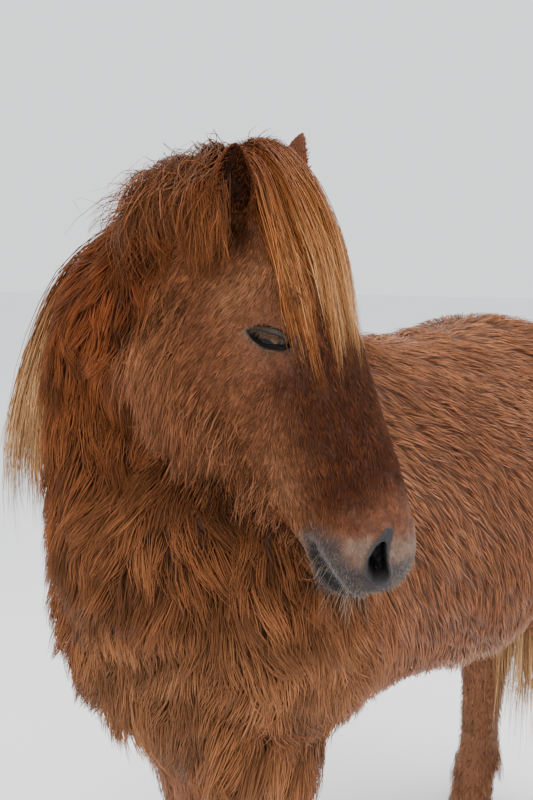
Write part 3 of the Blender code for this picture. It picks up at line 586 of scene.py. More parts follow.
class Sites:
    """Where points lie on the horse: each field is from 0 to 1 and fades smoothly."""

    REAR_EDGE = ((-0.040, -0.015), (0.130, -0.235), (0.200, -0.262), (0.270, -0.250),
                 (0.340, -0.206), (0.420, -0.156), (0.480, -0.138), (0.660, -0.132))

    def __init__(self, points):
        self.points = points
        self.x, self.y, self.z = points.T
        self.in_head = carried(HEAD_INVERSE, points)
        self.mirrored = self.in_head.copy()
        self.mirrored[:, 0] = np.abs(self.in_head[:, 0])
        side, out, along = self.mirrored.T
        self.out, self.along = out, along
        edge = np.interp(along, *zip(*self.REAR_EDGE))
        self.head = (fade(-0.012, 0.022, out - edge) * fade(-0.070, -0.030, along)
                     * fade(0.020, 0.0, side - np.interp(along, (0.25, 0.45), (0.130, 0.080)))
                     * fade(0.64, 0.60, along))
        self.muzzle = self.head * fade(0.385, 0.475, along + 0.25 * (out + 0.05))
        self.jaw = self.head * fade(-0.115, -0.185, out + 0.25 * fade(0.36, 0.50, along) * 0.4)
        beside = fade(-0.03, 0.02, along) * fade(0.46, 0.40, along) * fade(0.150, 0.125, side)
        # A painted highlight along the jaw's rear edge, and a painted shadow on the neck just behind it
        self.painted_jaw_highlight = self.head * np.exp(-((out - edge - 0.012) / 0.010) ** 2) * beside
        self.body = 1 - self.head
        self.painted_jaw_shadow = self.body * np.exp(-((out - edge + 0.024) / 0.018) ** 2) * beside
        self.leg = self.body * fade(0.78, 0.62, self.z)
        self.shin = self.body * fade(0.56, 0.42, self.z)
        self.front = fade(-0.40, -0.60, self.y)
        neck_foot = self.z - (1.470 + (self.y + 0.080) * 0.87)
        self.neck = self.body * fade(-0.10, 0.06, neck_foot) * self.front
        self.chest = self.body * self.front * fade(0.66, 0.80, self.z) * (1 - self.neck)
        self.trunk = self.body * (1 - self.front) * (1 - self.leg)
        self.belly = self.trunk * fade(0.88, 0.74, self.z) * fade(0.36, 0.20, self.y)
        self.ruff = np.clip(self.neck + self.chest, 0, 1)
        self.curls = self.neck * fade(1.32, 1.48, self.z)


def drawn(value, *steps):
    """A value drawn towards each goal in turn, by a share."""
    for goal, share in steps:
        value = value + (goal - value) * share
    return value


def coat_depth(sites):
    """How far the skin lies inside the coat's own surface."""
    return drawn(0.013 + 0.004 * sites.chest, (0.005, sites.shin), (0.0040, sites.head),
                 (0.0012, sites.muzzle))


def read(items, field, width, kind=float):
    """One field of a mesh's parts as rows."""
    values = np.empty(len(items) * width, kind)
    items.foreach_get(field, values)
    return values.reshape(-1, width)


def mesh_arrays(mesh):
    """Points, normals, edges and triangles of a mesh."""
    mesh.calc_loop_triangles()
    return (read(mesh.vertices, "co", 3), read(mesh.vertex_normals, "vector", 3),
            read(mesh.edges, "vertices", 2, np.int32), read(mesh.loop_triangles, "vertices", 3, np.int32))


def set_points(mesh, points):
    mesh.vertices.foreach_set("co", points.ravel())
    mesh.update()


def relax(obj, rounds, where=None):
    """Smooths a mesh without shrinking it, by moving each point in and then out again."""
    points, _, edges, _ = mesh_arrays(obj.data)
    a, b = edges.T
    share = 1.0 if where is None else where(points)[:, None]
    count = np.bincount(np.concatenate([a, b]), minlength=len(points))[:, None]
    for step in (SHRINK, SWELL) * rounds:
        total = np.zeros_like(points)
        for axis in range(3):
            total[:, axis] = (np.bincount(a, points[b, axis], len(points))
                              + np.bincount(b, points[a, axis], len(points)))
        points += share * step * (total / count - points)
    set_points(obj.data, points)


def refine(obj, where):
    """Splits the faces that where picks out into four."""
    with opened(obj.data) as made:
        chosen = where(np.array([f.calc_center_median() for f in made.faces])) > 0.5
        edges = {e for face, picked in zip(made.faces, chosen) if picked for e in face.edges}
        bmesh.ops.subdivide_edges(made, edges=sorted(edges, key=lambda e: e.index), cuts=1,
                                  use_grid_fill=True)


def on_face(points):
    """The head in front of the throat, where the skin is finer."""
    sites = Sites(points)
    return sites.head * fade(-0.01, 0.02, sites.along)


def on_features(points):
    """Round the eyes and over the muzzle, where the skin is finest."""
    sites = Sites(points)
    eye = np.linalg.norm(sites.mirrored - np.array(EYE_CENTRE), axis=1)
    return np.maximum(fade(0.055, 0.045, eye), sites.head * fade(0.415, 0.440, sites.along))


def on_lines(points):
    """Along the lips and round the nostrils."""
    sites = Sites(points)
    mouth, _ = along_path(sites.mirrored, MOUTH_LINE)
    nostril, _ = along_path(sites.mirrored, NOSTRIL_LINE)
    return sites.head * (np.minimum(mouth, nostril - 0.006) < 0.011)


def fused_flesh():
    """All masses of flesh as one surface."""
    pieces = [loft(torso_stations(), 60, 40), loft(neck_stations(), 36, 32),
              loft(head_stations(), 48, 32), *head_masses()]
    for side in (1, -1):
        pieces.append(loft(foreleg_stations(side), 50, 20))
        pieces.append(loft(hindleg_stations(side), 50, 20))
    body = make_object("skin", *joined(pieces))
    fuse = body.modifiers.new("Fuse", "REMESH")
    fuse.mode = "VOXEL"
    fuse.voxel_size = VOXEL
    body = evaluated_copy(body)
    relax(body, 12)
    return body


def line_ridge(place, line, width):
    """1 on a line, fading out over the width."""
    far, _ = along_path(place, line)
    return np.exp(-(far / width) ** 2)


def rise_of_head(place):
    """How far the folds of the face stand out, for mirrored places in the head's frame."""
    rise = spots(place, FOLD_SPOTS)
    rise += 0.0045 * line_ridge(place, CREST_LINE, 0.011)
    rise -= 0.0040 * line_ridge(place, ((0.070, -0.105, 0.300), (0.060, -0.102, 0.400)), 0.020)
    rise -= 0.0035 * line_ridge(place, ((0.052, -0.026, 0.330), (0.050, -0.030, 0.430)), 0.016)
    far, part = along_path(place, NOSTRIL_LINE)
    rim = far - nostril_reach(part)
    rise += 0.0048 * np.exp(-((rim - 0.0035) / 0.0045) ** 2) * (0.30 + 0.70 * behind_nostril(place))
    rise += 0.0030 * spot(place, (0.060, -0.080, 0.495), (0.020, 0.020, 0.035))
    far, part = along_path(place, MOUTH_LINE)
    rise += 0.0030 * np.exp(-((far - 0.008) / 0.0045) ** 2)
    rise -= 0.0095 * np.exp(-(far / 0.0024) ** 2) * fade(-0.02, 0.06, part)
    return rise


def behind_nostril(place):
    return fade(0.010, -0.020, place[:, 1] + 0.45 * (place[:, 2] - 0.49))


def nostril_reach(part):
    """Half the nostril's width along its line."""
    return 0.0034 + 0.0068 * fade(0.10, 0.75, part)


def nostril_pit(place, side):
    """How far each mirrored place is drawn into the nostril, and which way."""
    far, part = along_path(place, NOSTRIL_LINE)
    depth = 0.030 * fade(1.25, 0.55, far / nostril_reach(part)) * (0.35 + 0.65 * fade(0.0, 0.6, part))
    inward = HEAD_TURN @ Vector((-0.72 * side, -0.10, -0.68))
    return depth[:, None] * np.array(inward)


def nostril_hole(place):
    """1 inside the nostril's opening, for mirrored places."""
    far, part = along_path(place, NOSTRIL_LINE)
    return fade(1.15, 0.85, far / nostril_reach(part))


def slim_muzzle(obj):
    """Draws the nose's end in from the coat's broad form."""
    points, _, _, _ = mesh_arrays(obj.data)
    share = Sites(points).head
    place = carried(HEAD_INVERSE, points)
    end = fade(0.36, 0.53, place[:, 2]) * share
    place[:, 0] *= 1 - 0.07 * end
    place[:, 1] -= 0.007 * end
    place[:, 2] -= (0.011 + 0.009 * fade(-0.040, -0.090, place[:, 1])) * end
    set_points(obj.data, carried(HEAD, place))


def shape_face(obj):
    """Moves the skin out and in for the folds, pits and lines of the face."""
    points, normals, _, _ = mesh_arrays(obj.data)
    sites = Sites(points)
    share = (sites.head * fade(0.02, 0.08, sites.along))[:, None]
    rise = rise_of_head(sites.mirrored)[:, None]
    points = points + normals * (rise * share - coat_depth(sites)[:, None])
    hollow = nostril_hole(sites.mirrored) * share[:, 0]
    for side in (1, -1):
        chosen = (sites.in_head[:, 0] * side > 0)[:, None] * share
        points = points + nostril_pit(sites.mirrored, side) * chosen
        frame = eye_frame(side)
        place = carried(frame.inverted(), points)
        near = (np.abs(place[:, 0] - 0.010) < 0.04) & (np.hypot(place[:, 1], place[:, 2]) < 0.07)
        ground = np.array([lid_ground(b, c) for b, c in place[near][:, 1:]])
        size = np.hypot(place[near, 1] / 0.0270, place[near, 2] / 0.0125)
        dome = fade(2.6, 1.1, size) * 0.95
        height = place[near, 0] + dome * (ground + 0.0012 - place[near, 0])
        place[near, 0] = height + fade(1.15, 0.80, size) * (-0.004 - height)
        points = carried(frame, place)
    set_points(obj.data, points)
    return hollow


def skin():
    """One skin over the whole animal, finest round the eyes and muzzle, and where it is hollow."""
    body = fused_flesh()
    refine(body, on_face)
    refine(body, on_features)
    relax(body, 8, on_face)
    slim_muzzle(body)
    refine(body, on_lines)
    relax(body, 3, on_features)
    return body, shape_face(body)


class Surface:
    """The triangles of a skin, for hair to grow on."""

    def __init__(self, obj, hollow=None):
        self.points, self.normals, _, self.triangles = mesh_arrays(obj.data)
        self.hollow = 0.0 if hollow is None else hollow[self.triangles].max(1)
        a, b, c = (self.points[self.triangles[:, i]] for i in range(3))
        self.areas = np.linalg.norm(np.cross(b - a, c - a), axis=1) / 2
        self.sites = Sites((a + b + c) / 3)
        self.tree = BVHTree.FromPolygons(self.points.tolist(), self.triangles.tolist())

    def scatter(self, count, share, draw):
        """Random places on the surface and its normals there, as thick as share says."""
        total = np.cumsum(self.areas * share)
        picks = np.searchsorted(total, draw.random(count) * total[-1])
        u, v = draw.random((2, count))
        over = u + v > 1
        u[over], v[over] = 1 - u[over], 1 - v[over]
        corners = self.triangles[np.minimum(picks, len(self.triangles) - 1)]
        weights = np.stack([1 - u - v, u, v], 1)[..., None]
        return (self.points[corners] * weights).sum(1), unit((self.normals[corners] * weights).sum(1))

    def clear_of(self, points, least):
        """Points moved out until each lies at least a given height over the surface."""
        moved = points.copy()
        for i, point in enumerate(points):
            near, out, _, _ = self.tree.find_nearest(Vector(point))
            height = (Vector(point) - near).dot(out)
            if height < least[i]:
                moved[i] = np.array(near + out * least[i])
        return moved


def laid(directions, normals):
    """Directions turned into the surface that has these normals."""
    along = (directions * normals).sum(-1, keepdims=True)
    return unit(directions - normals * along)


def tuft_paths(roots, normals, lie, length, lift, steps, droop=0.0, sink=0.002):
    """Paths from below the skin, out and along the lie, one point for each step."""
    paths = [roots - normals * sink]
    for i in range(1, steps + 1):
        part = i / steps
        rise = lift * (1 - (1 - part) ** 2)
        point = roots + lie * (length * part)[:, None] + normals * rise[:, None]
        paths.append(point + np.array(DOWN) * (droop * length * part ** 2)[:, None])
    return np.stack(paths, 1)


def gathered(paths, every, pull):
    """Draws the hairs' tips towards the tip of the nearest leading hair, so that they part in locks."""
    leaders = np.arange(0, len(paths), every)
    tree = KDTree(len(leaders))
    for i in leaders:
        tree.insert(Vector(paths[i, 0]), int(i))
    tree.balance()
    nearest = np.array([tree.find(Vector(root))[1] for root in paths[:, 0]])
    own = paths[:, :1] - paths[nearest][:, :1]
    steps = np.linspace(0, 1, paths.shape[1])[None, :, None]
    goal = paths[nearest] + own * (1 - steps) + own * steps * 0.15
    return paths + (goal - paths) * (steps ** 1.4 * pull), nearest


def unwrapped(points, axis_point, axis, reach, turn_from):
    """Places on a cylinder round the skin, rolled out flat, from 0 to 1."""
    axis = unit(np.array(axis, float))
    start = unit(laid(np.array(turn_from, float), axis))
    side = np.cross(axis, start)
    from_axis = points - np.array(axis_point)
    height = from_axis @ axis
    turn = np.arctan2(from_axis @ side, from_axis @ start) / (2 * math.pi) + 0.5
    low, high = reach
    return np.stack([0.01 + 0.98 * turn, 0.01 + 0.98 * np.clip((height - low) / (high - low), 0, 1)], 1)


def hair_object(name, paths, half_widths, ups, tones, places):
    """Thin closed hairs or tufts, pointed at both ends and three-sided between, as one mesh.

    paths holds the points of each, half_widths and tones a value for each point, ups the way that
    each one's back faces, and places the spot of each root on the skin's unwrap.
    """
    count, steps = paths.shape[:2]
    rings = steps - 2
    ahead = unit(np.gradient(paths, axis=1))
    side = unit(np.cross(ahead, ups[:, None, :]))
    out = np.cross(side, ahead)
    corners = ((1.0, -0.4), (-1.0, -0.4), (0.0, 0.8))
    half = half_widths[..., None]
    ring = np.stack([paths + (side * across + out * up * FLATNESS) * half
                     for across, up in corners], 2)[:, 1:-1]
    per = 2 + 3 * rings
    points = np.concatenate([paths[:, 0], ring.reshape(count, -1), paths[:, -1]],
                            axis=1).reshape(-1, 3)
    faces = [(0, 1 + (k + 1) % 3, 1 + k) for k in range(3)]
    for r in range(rings - 1):
        for k in range(3):
            a, b = 1 + 3 * r + k, 1 + 3 * r + (k + 1) % 3
            faces += [(a, b, b + 3), (a, b + 3, a + 3)]
    last = 1 + 3 * (rings - 1)
    faces += [(last + k, last + (k + 1) % 3, per - 1) for k in range(3)]
    faces = (np.arange(count)[:, None, None] * per + np.array(faces)[None]).reshape(-1)
    steps_of = np.array([0] + [1 + r for r in range(rings) for _ in range(3)] + [steps - 1])
    across_of = np.array([0.0] + [k - 1.0 for _ in range(rings) for k in range(3)] + [0.0])
    mesh = bpy.data.meshes.new(name)
    mesh.vertices.add(len(points))
    mesh.vertices.foreach_set("co", points.ravel())
    mesh.loops.add(len(faces))
    mesh.loops.foreach_set("vertex_index", faces.astype(np.int32))
    mesh.polygons.add(len(faces) // 3)
    mesh.polygons.foreach_set("loop_start", np.arange(0, len(faces), 3, dtype=np.int32))
    mesh.polygons.foreach_set("use_smooth", np.ones(len(faces) // 3, bool))
    mesh.update(calc_edges=True)
    tone = mesh.color_attributes.new("tone", "FLOAT_COLOR", "POINT")
    rows = np.ones((count, per, 4))
    rows[..., :3] = tones[:, steps_of]
    tone.data.foreach_set("color", rows.ravel())
    patch = np.stack([across_of, steps_of / (steps - 1) * 2 - 1], 1) * PATCH / 2
    spots = (places[:, None] + patch[None]).reshape(-1, 2)
    layer = mesh.uv_layers.new(name="OFBake")
    layer.uv.foreach_set("vector", spots[faces].ravel())
    return placed(name, mesh)


def tapered(steps, half_width, root=0.5, fullest=0.35):
    """Half widths along each hair: narrow at the root, fullest near it and pointed at the tip."""
    part = np.linspace(0, 1, steps)
    shape = np.where(part < fullest, root + (1 - root) * part / fullest,
                     np.clip((1 - part) / (1 - fullest), 0, 1) ** 0.7)
    return half_width[:, None] * shape[None]


def mixed(a, b, share):
    return a + (b - a) * share[..., None]


def painted(tone, *layers):
    """Colours laid over each other, each by its share."""
    for colour, share in layers:
        tone = mixed(tone, colour, share)
    return tone


def toward_tips(root, tip, steps):
    """Colours from root to tip, for each step along each hair."""
    part = np.linspace(0, 1, steps)[None, :, None]
    return root * (1 - part) + tip * part


def coat_tone(sites):
    """The colour of coat and skin at each place, with painted shadow under the ears and behind the jaw, and
    painted highlight along the jaw's edge and in the golden patches.
    """
    place, along = sites.mirrored, sites.along
    broad = lattice_noise(sites.points, 0.09, 3)
    small = lattice_noise(sites.points, 0.025, 4)
    breast = np.clip(sites.chest + sites.neck * fade(1.38, 1.00, sites.z) * 0.9, 0, 1)
    cheek = fade(0.02, 0.14, along) * fade(0.42, 0.30, along) * (0.6 + 0.4 * broad)
    # Lighter golden coat, partly painted highlight on the face's swells
    gold_and_highlight = spots(place, GOLD_AND_HIGHLIGHT_SPOTS)
    front = fade(-0.100, -0.014, sites.out + 0.25 * (along - 0.29) + 0.014 * small)
    bridge = sites.head * front * fade(0.10, 0.26, along)
    bridge = bridge * fade(0.475, 0.400, along + 0.016 * small - 0.1 * sites.out)
    tan = sites.head * fade(0.466, 0.500, along - 0.47 * sites.out + 0.008 * small)
    tone = painted(CHESTNUT,
                   (BARREL_BROWN, sites.trunk * (0.75 + 0.25 * broad)),
                   (BELLY_PALE, sites.belly * 0.8),
                   (CHEST_BROWN, breast * (0.65 + 0.35 * broad)),
                   (AUBURN * 1.3, sites.curls * (0.55 + 0.40 * small)),
                   (LEG_BROWN, sites.leg * 0.9),
                   (LEG_BROWN * 0.55, sites.shin * (0.40 + 0.30 * small)),
                   (mixed(FACE_BROWN, CHEEK_BROWN, cheek), sites.head),
                   (FACE_GOLD, sites.head * np.clip(gold_and_highlight * (0.7 + 0.3 * small), 0, 1)),
                   (BRIDGE_BROWN, bridge * (0.86 + 0.10 * small)),
                   (MUZZLE_TAN, np.clip(tan, 0, 1) * (0.75 + 0.25 * small)),
                   (SKIN_GREY * 3.4, charcoal_skin(sites, small) * 0.66))
    tone = tone * (1 - LIP_SHADE * lower_lip(sites))[:, None]
    gap, _, up, _ = round_the_eye(sites.points)
    # Painted shadow under each ear, over the hollow below it
    ear_shadow = spot(place, PAINTED_EAR_SHADOW, (0.024, 0.026, 0.030))
    tone = painted(tone,
                   (LID_OLIVE, sites.head * fade(0.0100, 0.0060, gap) * fade(0.004, -0.004, up) * 0.60),
                   (LID_BROWN, sites.head * fade(0.0040, 0.0025, gap) * fade(0.000, 0.004, up) * 0.8),
                   (AUBURN * 0.30, sites.head * np.clip(ear_shadow * 1.3, 0, 1)))
    fine = lattice_noise(sites.points, 0.007, 6) * (sites.muzzle + 0.4 * sites.head)
    shaggy = lattice_noise(sites.points, 0.042, 5) * sites.ruff
    # Painted highlight along the jaw's edge, painted shadow behind it on the neck
    tone = tone * (1 + 0.30 * sites.painted_jaw_highlight - 0.50 * sites.painted_jaw_shadow)[:, None]
    return tone * (1 + 0.14 * broad + 0.10 * small + 0.24 * fine + 0.32 * shaggy)[:, None]


def charcoal_skin(sites, small):
    """Where the fur thins out over dark skin, along the upper lip and at the nose's end."""
    mouth, above = by_the_mouth(sites.mirrored)
    lip = fade(0.040, 0.010, mouth + 0.006 * small) * (above > -0.01)
    end = fade(0.505, 0.530, sites.along - 0.30 * sites.out + 0.008 * small)
    return sites.head * np.clip(lip + end, 0, 1)


def lower_lip(sites):
    """The dark lip and chin below the mouth's line."""
    mouth, above = by_the_mouth(sites.mirrored)
    near = fade(0.034, 0.016, mouth) * fade(0.440, 0.466, sites.along)
    return sites.head * near * fade(0.002, -0.002, above)


def by_the_mouth(place):
    """The distance to the mouth's line, and how far above it each mirrored place lies."""
    far, part = along_path(place, MOUTH_LINE)
    outs = [point[1] for point in MOUTH_LINE]
    return far, place[:, 1] - np.interp(part, np.linspace(0, 1, len(outs)), outs)


def bare_skin(sites):
    """Where dark skin shows: at lips, nostrils and eyelids."""
    place = sites.mirrored
    mouth, above = by_the_mouth(place)
    lower = fade(0.030, 0.018, mouth) * fade(0.446, 0.470, sites.along)
    lips = np.where(above > 0, fade(0.0045, 0.0020, mouth), lower)
    nostril, part = along_path(place, NOSTRIL_LINE)
    pits = fade(0.0085, 0.0030, (nostril - nostril_reach(part)) / (0.45 + 0.75 * behind_nostril(place)))
    under = 1.2 * spot(place, (0.0, -0.118, 0.515), (0.050, 0.026, 0.045))
    gap, forward, up, _ = round_the_eye(sites.points)
    rims = fade(0.0050, 0.0015, gap) * (1 - 0.9 * fade(0.000, 0.004, up))
    rims = np.maximum(rims, fade(0.0095, 0.0050, gap) * fade(0.014, 0.021, forward))
    return sites.head * np.clip(lips + pits + under + rims, 0, 1)


def lip_rim(sites):
    """The pale edge of the upper lip."""
    mouth, above = by_the_mouth(sites.mirrored)
    return sites.head * np.exp(-((mouth - 0.0050) / 0.0022) ** 2) * (above > 0)


def lie_of_coat(sites):
    """The way that the coat lies at each place."""
    world_down = np.array(DOWN)
    right_left = np.clip(sites.x / 0.06, -1, 1)[:, None]
    trunk = np.array((0.0, 0.70, -0.60)) + world_down * fade(1.30, 0.95, sites.z)[:, None] * 1.2
    trunk = trunk + right_left * np.array((0.7, 0, 0)) * fade(1.20, 1.38, sites.z)[:, None]
    trunk = trunk + np.array((0, 0.6, 0)) * sites.belly[:, None]
    toward_nose = np.clip(fade(-0.060, 0.010, sites.out) + fade(0.22, 0.40, sites.along), 0, 1)
    face = mixed(HEAD_AXES @ np.array((0, -0.95, 0.45)), HEAD_AXES @ np.array((0, -0.40, 0.92)),
                 toward_nose)
    lie = painted(trunk,
                  (np.array((0.0, 0.10, -1.0)), fade(0.0, 0.6, sites.chest)),
                  (np.array((-0.10, 0.22, -1.0)), fade(0.0, 0.6, sites.neck)),
                  (np.array((0.0, 0.12, -1.0)), sites.leg),
                  (mixed(face, world_down, sites.jaw * 0.7), sites.head))
    swing = lattice_noise(sites.points, 0.055, 8)[:, None] * np.array((0.55, 0.55, 0.2))
    swing = swing + lattice_noise(sites.points, 0.022, 9)[:, None] * np.array((0.40, -0.45, 0.2))
    return lie + swing * (1 - 0.50 * sites.head)[:, None]


def grid_object(name, rows, closed=False):
    """A surface through rows of points."""
    return make_object(name, [p for row in rows for p in row],
                       strip_faces(len(rows), len(rows[0]), closed))


def eyeball(side):
    """The eye, with its cornea a little proud and rings of colour from the pupil outward."""
    frame = eye_frame(side)
    rings, sides = 40, 48
    points, tones = [], []
    for r in range(rings + 1):
        polar = math.pi * r / rings
        cornea = 0.0011 * fade(0.85, 0.35, polar)
        for k in range(sides):
            turn = 2 * math.pi * k / sides
            across, up = math.sin(polar) * math.cos(turn), math.sin(polar) * math.sin(turn)
            points.append(Vector((math.cos(polar), across, up)) * (EYE_RADIUS + cornea))
            pupil = math.hypot(across / 0.60, (up + 0.31) / 0.27)
            iris = math.hypot(across, up)
            streak = 0.72 + 0.28 * math.sin(across * 75 + 2.0 * up) * math.sin(across * 31 + 1)
            tones.append(drawn(IRIS_BROWN * streak, (PUPIL_BLACK, fade(1.15, 0.85, pupil)),
                               (IRIS_RIM, fade(0.66, 0.74, iris)), (EYE_WHITE, fade(0.80, 0.90, iris))))
    obj = make_object("eyeball_" + SIDES[side], [frame @ p for p in points],
                      strip_faces(rings + 1, sides))
    with opened(obj.data) as made:
        layer = made.verts.layers.float_color.new("tone")
        for vertex, colour in zip(made.verts, tones):
            vertex[layer] = (*colour, 1)
        bmesh.ops.remove_doubles(made, verts=made.verts, dist=1e-5)
        bmesh.ops.recalc_face_normals(made, faces=made.faces)
    return obj


def lid_place(t):
    """How far along the slit a place from one corner, t = -1, to the other, t = 1, lies."""
    return LID_REACH[0] + (LID_REACH[1] - LID_REACH[0]) * (t + 1) / 2


def lid_edge(t, upper):
    """The height of a lid's edge from one corner, t = -1, to the other, t = 1."""
    if upper:
        return 0.0058 * max(1 - t * t, 0.0) ** 0.55 * (1 + 0.42 * t)
    return -0.0072 * max(1 - t * t, 0.0) ** 0.85


def lid(side, upper):
    """One eyelid: its wet edge on the eye, a rounded rim, folds, and a skirt under the skin."""
    frame = eye_frame(side)
    if upper:
        word, sign, shades = "upper", 1, UPPER_LID_SHADES
        section = ((0.0, -0.0030), (0.0, 0.0008), (0.0007, 0.0014), (0.0018, 0.0017), (0.0034, 0.0014),
                   (0.0052, 0.0008), (0.0064, -0.0006), (0.0080, -0.0030), (0.0110, -0.0060))
    else:
        word, sign, shades = "lower", -1, LOWER_LID_SHADES
        section = ((0.0, -0.0030), (0.0, 0.0008), (0.0010, 0.0016), (0.0022, 0.0017), (0.0034, 0.0008),
                   (0.0050, -0.0006), (0.0072, -0.0030), (0.0105, -0.0060))
    rows = []
    for away, rise in section:
        row = []
        for step in range(LID_STEPS):
            t = -1 + 2 * step / (LID_STEPS - 1)
            along = lid_place(t)
            narrow = 0.45 + 0.55 * max(1 - t ** 4, 0.0)
            up = lid_edge(t, upper) + sign * away * narrow
            wrinkle = 0.0004 * math.sin(9 * t + 300 * away) * fade(0.004, 0.010, away)
            ground = lid_ground(along * 0.97, up)
            row.append(frame @ Vector((ground + rise * (0.4 + 0.6 * narrow) + wrinkle, along, up)))
        rows.append(row)
    obj = grid_object(word + "_lid_" + SIDES[side], rows)
    set_tone(obj, np.repeat(shades, LID_STEPS, axis=0))
    return thickened(obj, 0.0012)


def lashes(side):
    """Lashes along the upper lid, out and down over the eye."""
    draw = random.Random(31 + side)
    frame = eye_frame(side)
    paths = []
    for _ in range(LASH_COUNT):
        t = draw.uniform(-0.72, 0.80)
        along, up = lid_place(t), lid_edge(t, True) + 0.0012
        root = Vector((lid_ground(along, up) + 0.0015, along, up))
        length = draw.uniform(0.009, 0.017) * (1 - 0.4 * abs(t))
        heading = Vector((1.0, 0.35 * t + draw.uniform(-0.15, 0.15), -0.25))
        bend = Vector((0, 0, -0.45))
        paths.append([frame @ (root + (heading * part + bend * part ** 2) * length)
                      for part in (0, 0.2, 0.4, 0.6, 0.8, 1.0)])
    paths = np.array(paths)
    count, steps = paths.shape[:2]
    ups = np.tile(frame.to_3x3() @ Vector((0.3, 0, 1)), (count, 1))
    tones = np.tile(LASH_BROWN, (count, steps, 1))
    places = unwrapped(paths[:, 0], POLL, HEAD.col[2][:3], (0.0, 0.6), HEAD.col[1][:3])
    half = np.full(count, 0.00035)
    return hair_object("lashes_" + SIDES[side], paths, tapered(steps, half), ups, tones, places)


def ear_axes(side):
    """Root, tip, the way the ear opens and the way across it, in the head's frame."""
    root = Vector((side * EAR_ROOT[0], EAR_ROOT[1], EAR_ROOT[2]))
    tip = Vector(EAR_TIPS[side])
    axis = (tip - root).normalized()
    mouth = Vector(EAR_MOUTHS[side])
    mouth = (mouth - axis * mouth.dot(axis)).normalized()
    return root, tip, mouth, axis.cross(mouth)


def ear_grid(side, rings=36, across=28):
    """Rows of points over the ear's cup, and the outward direction at each."""
    root, tip, mouth, wide = ear_axes(side)
    axis = (tip - root).normalized()
    parts, radii, arcs = zip(*EAR_ROWS)
    rows, outs = [], []
    for r in range(rings + 1):
        part = r / rings
        radius = float(np.interp(part, parts, radii)) * 1.1
        arc = math.radians(float(np.interp(part, parts, arcs)))
        centre = root.lerp(tip, part) + mouth * EAR_BULGE * math.sin(math.pi * part)
        row, out = [], []
        for k in range(across + 1):
            turn = arc * (2 * k / across - 1)
            away = -mouth * math.cos(turn) * 0.85 + wide * math.sin(turn)
            curl = 1 - 0.12 * abs(2 * k / across - 1) ** 6
            row.append(HEAD @ (centre + away * radius * curl))
            out.append(HEAD_TURN @ away.normalized())
        rows.append(row)
        outs.append(out)
    return rows, outs, HEAD_TURN @ axis


def ear(side):
    """The ear's cup as a thin shell."""
    cup = thickened(grid_object("ear_shell_" + SIDES[side], ear_grid(side)[0]), 0.0024)
    set_tone(cup, ear_tones(cup, side))
    return cup


def ear_tones(obj, side):
    """Brown on the ear's back and near black in its cup, both darker than the coat as painted shade."""
    points, normals, _, _ = mesh_arrays(obj.data)
    root, tip, mouth, _ = (np.array(part) for part in ear_axes(side))
    place = carried(HEAD_INVERSE, points)
    axis = (tip - root) / np.linalg.norm(tip - root)
    away = laid(place - root - mouth * EAR_BULGE, axis)
    facing = (normals @ HEAD_AXES * away).sum(1)
    return mixed(AUBURN * 0.25, CHESTNUT * 0.4, fade(-0.1, 0.3, facing))


def ear_hair(side, draw):
    """Short hair on the back, long soft hair inside and along the edges."""
    rows, outs, axis = (np.array(part) for part in ear_grid(side))
    rings, across = rows.shape[0] - 1, rows.shape[1] - 1
    # Painted shade: these browns are darker than the coat's, most of all inside the cup
    kinds = (
        # name, count, lean along the ear, out, into its mouth and at random, lengths, lifts, colours
        ("back", 1500, (1.0, 0.10, 0.0, 0.6), (0.010, 0.017), (0.000, 0.003), CHESTNUT * 0.35,
         CHESTNUT * 0.85),
        ("inside", 560, (0.7, 0.0, 0.7, 1.0), (0.016, 0.032), (0.004, 0.010), AUBURN * 0.25,
         CHESTNUT * 0.6),
        ("edge", 640, (0.8, 0.0, 0.5, 0.8), (0.010, 0.024), (0.000, 0.004), CHESTNUT * 0.40,
         CHESTNUT * 1.05),
    )
    pieces = []
    for kind, count, leans, lengths, lifts, tone, tip in kinds:
        r = draw.random(count) ** 1.25 * rings * 0.97
        k = draw.random(count) * across
        if kind == "edge":
            k = np.where(draw.random(count) < 0.5, draw.random(count) * 1.2,
                         across - draw.random(count) * 1.2)
        i, j = r.astype(int), np.minimum(k.astype(int), across - 1)
        u, v = (r - i)[:, None], (k - j)[:, None]
        root = (rows[i, j] * (1 - u) * (1 - v) + rows[i + 1, j] * u * (1 - v)
                + rows[i, j + 1] * (1 - u) * v + rows[i + 1, j + 1] * u * v)
        out = outs[i, j]
        normal = -out if kind == "inside" else out
        mouth = -outs[i, np.full(count, across // 2)]
        jitter = draw.normal(0, 0.22, (count, 3))
        heading = axis * leans[0] + out * leans[1] + mouth * leans[2] + jitter * leans[3]
        length, lift = draw.uniform(*lengths, count), draw.uniform(*lifts, count)
        shorter = 1 - 0.80 * (r / rings) ** 1.5
        lie = unit(heading - normal * (heading * normal).sum(1, keepdims=True) * (kind == "back"))
        paths = tuft_paths(root, normal, lie, length * shorter, lift * shorter, 3, sink=0.0006)
        # Random tone, darker towards the ear's foot as painted shade round its opening
        shade = (0.75 + 0.5 * draw.random(count)) * (0.45 + 0.55 * fade(0.05, 0.40, r / rings))
        shade = shade[:, None, None]
        tones = toward_tips(tone * shade, tip * shade, 4)
        pieces.append((paths, tapered(4, draw.uniform(0.0005, 0.0009, count)), normal, tones))
    paths, widths, ups, tones = (np.concatenate(group) for group in zip(*pieces))
    places = unwrapped(paths[:, 0], HEAD @ ear_axes(side)[0], axis, (-0.02, 0.16), HEAD.col[1][:3])
    return hair_object("ear_hair_" + SIDES[side], paths, widths, ups, tones, places)


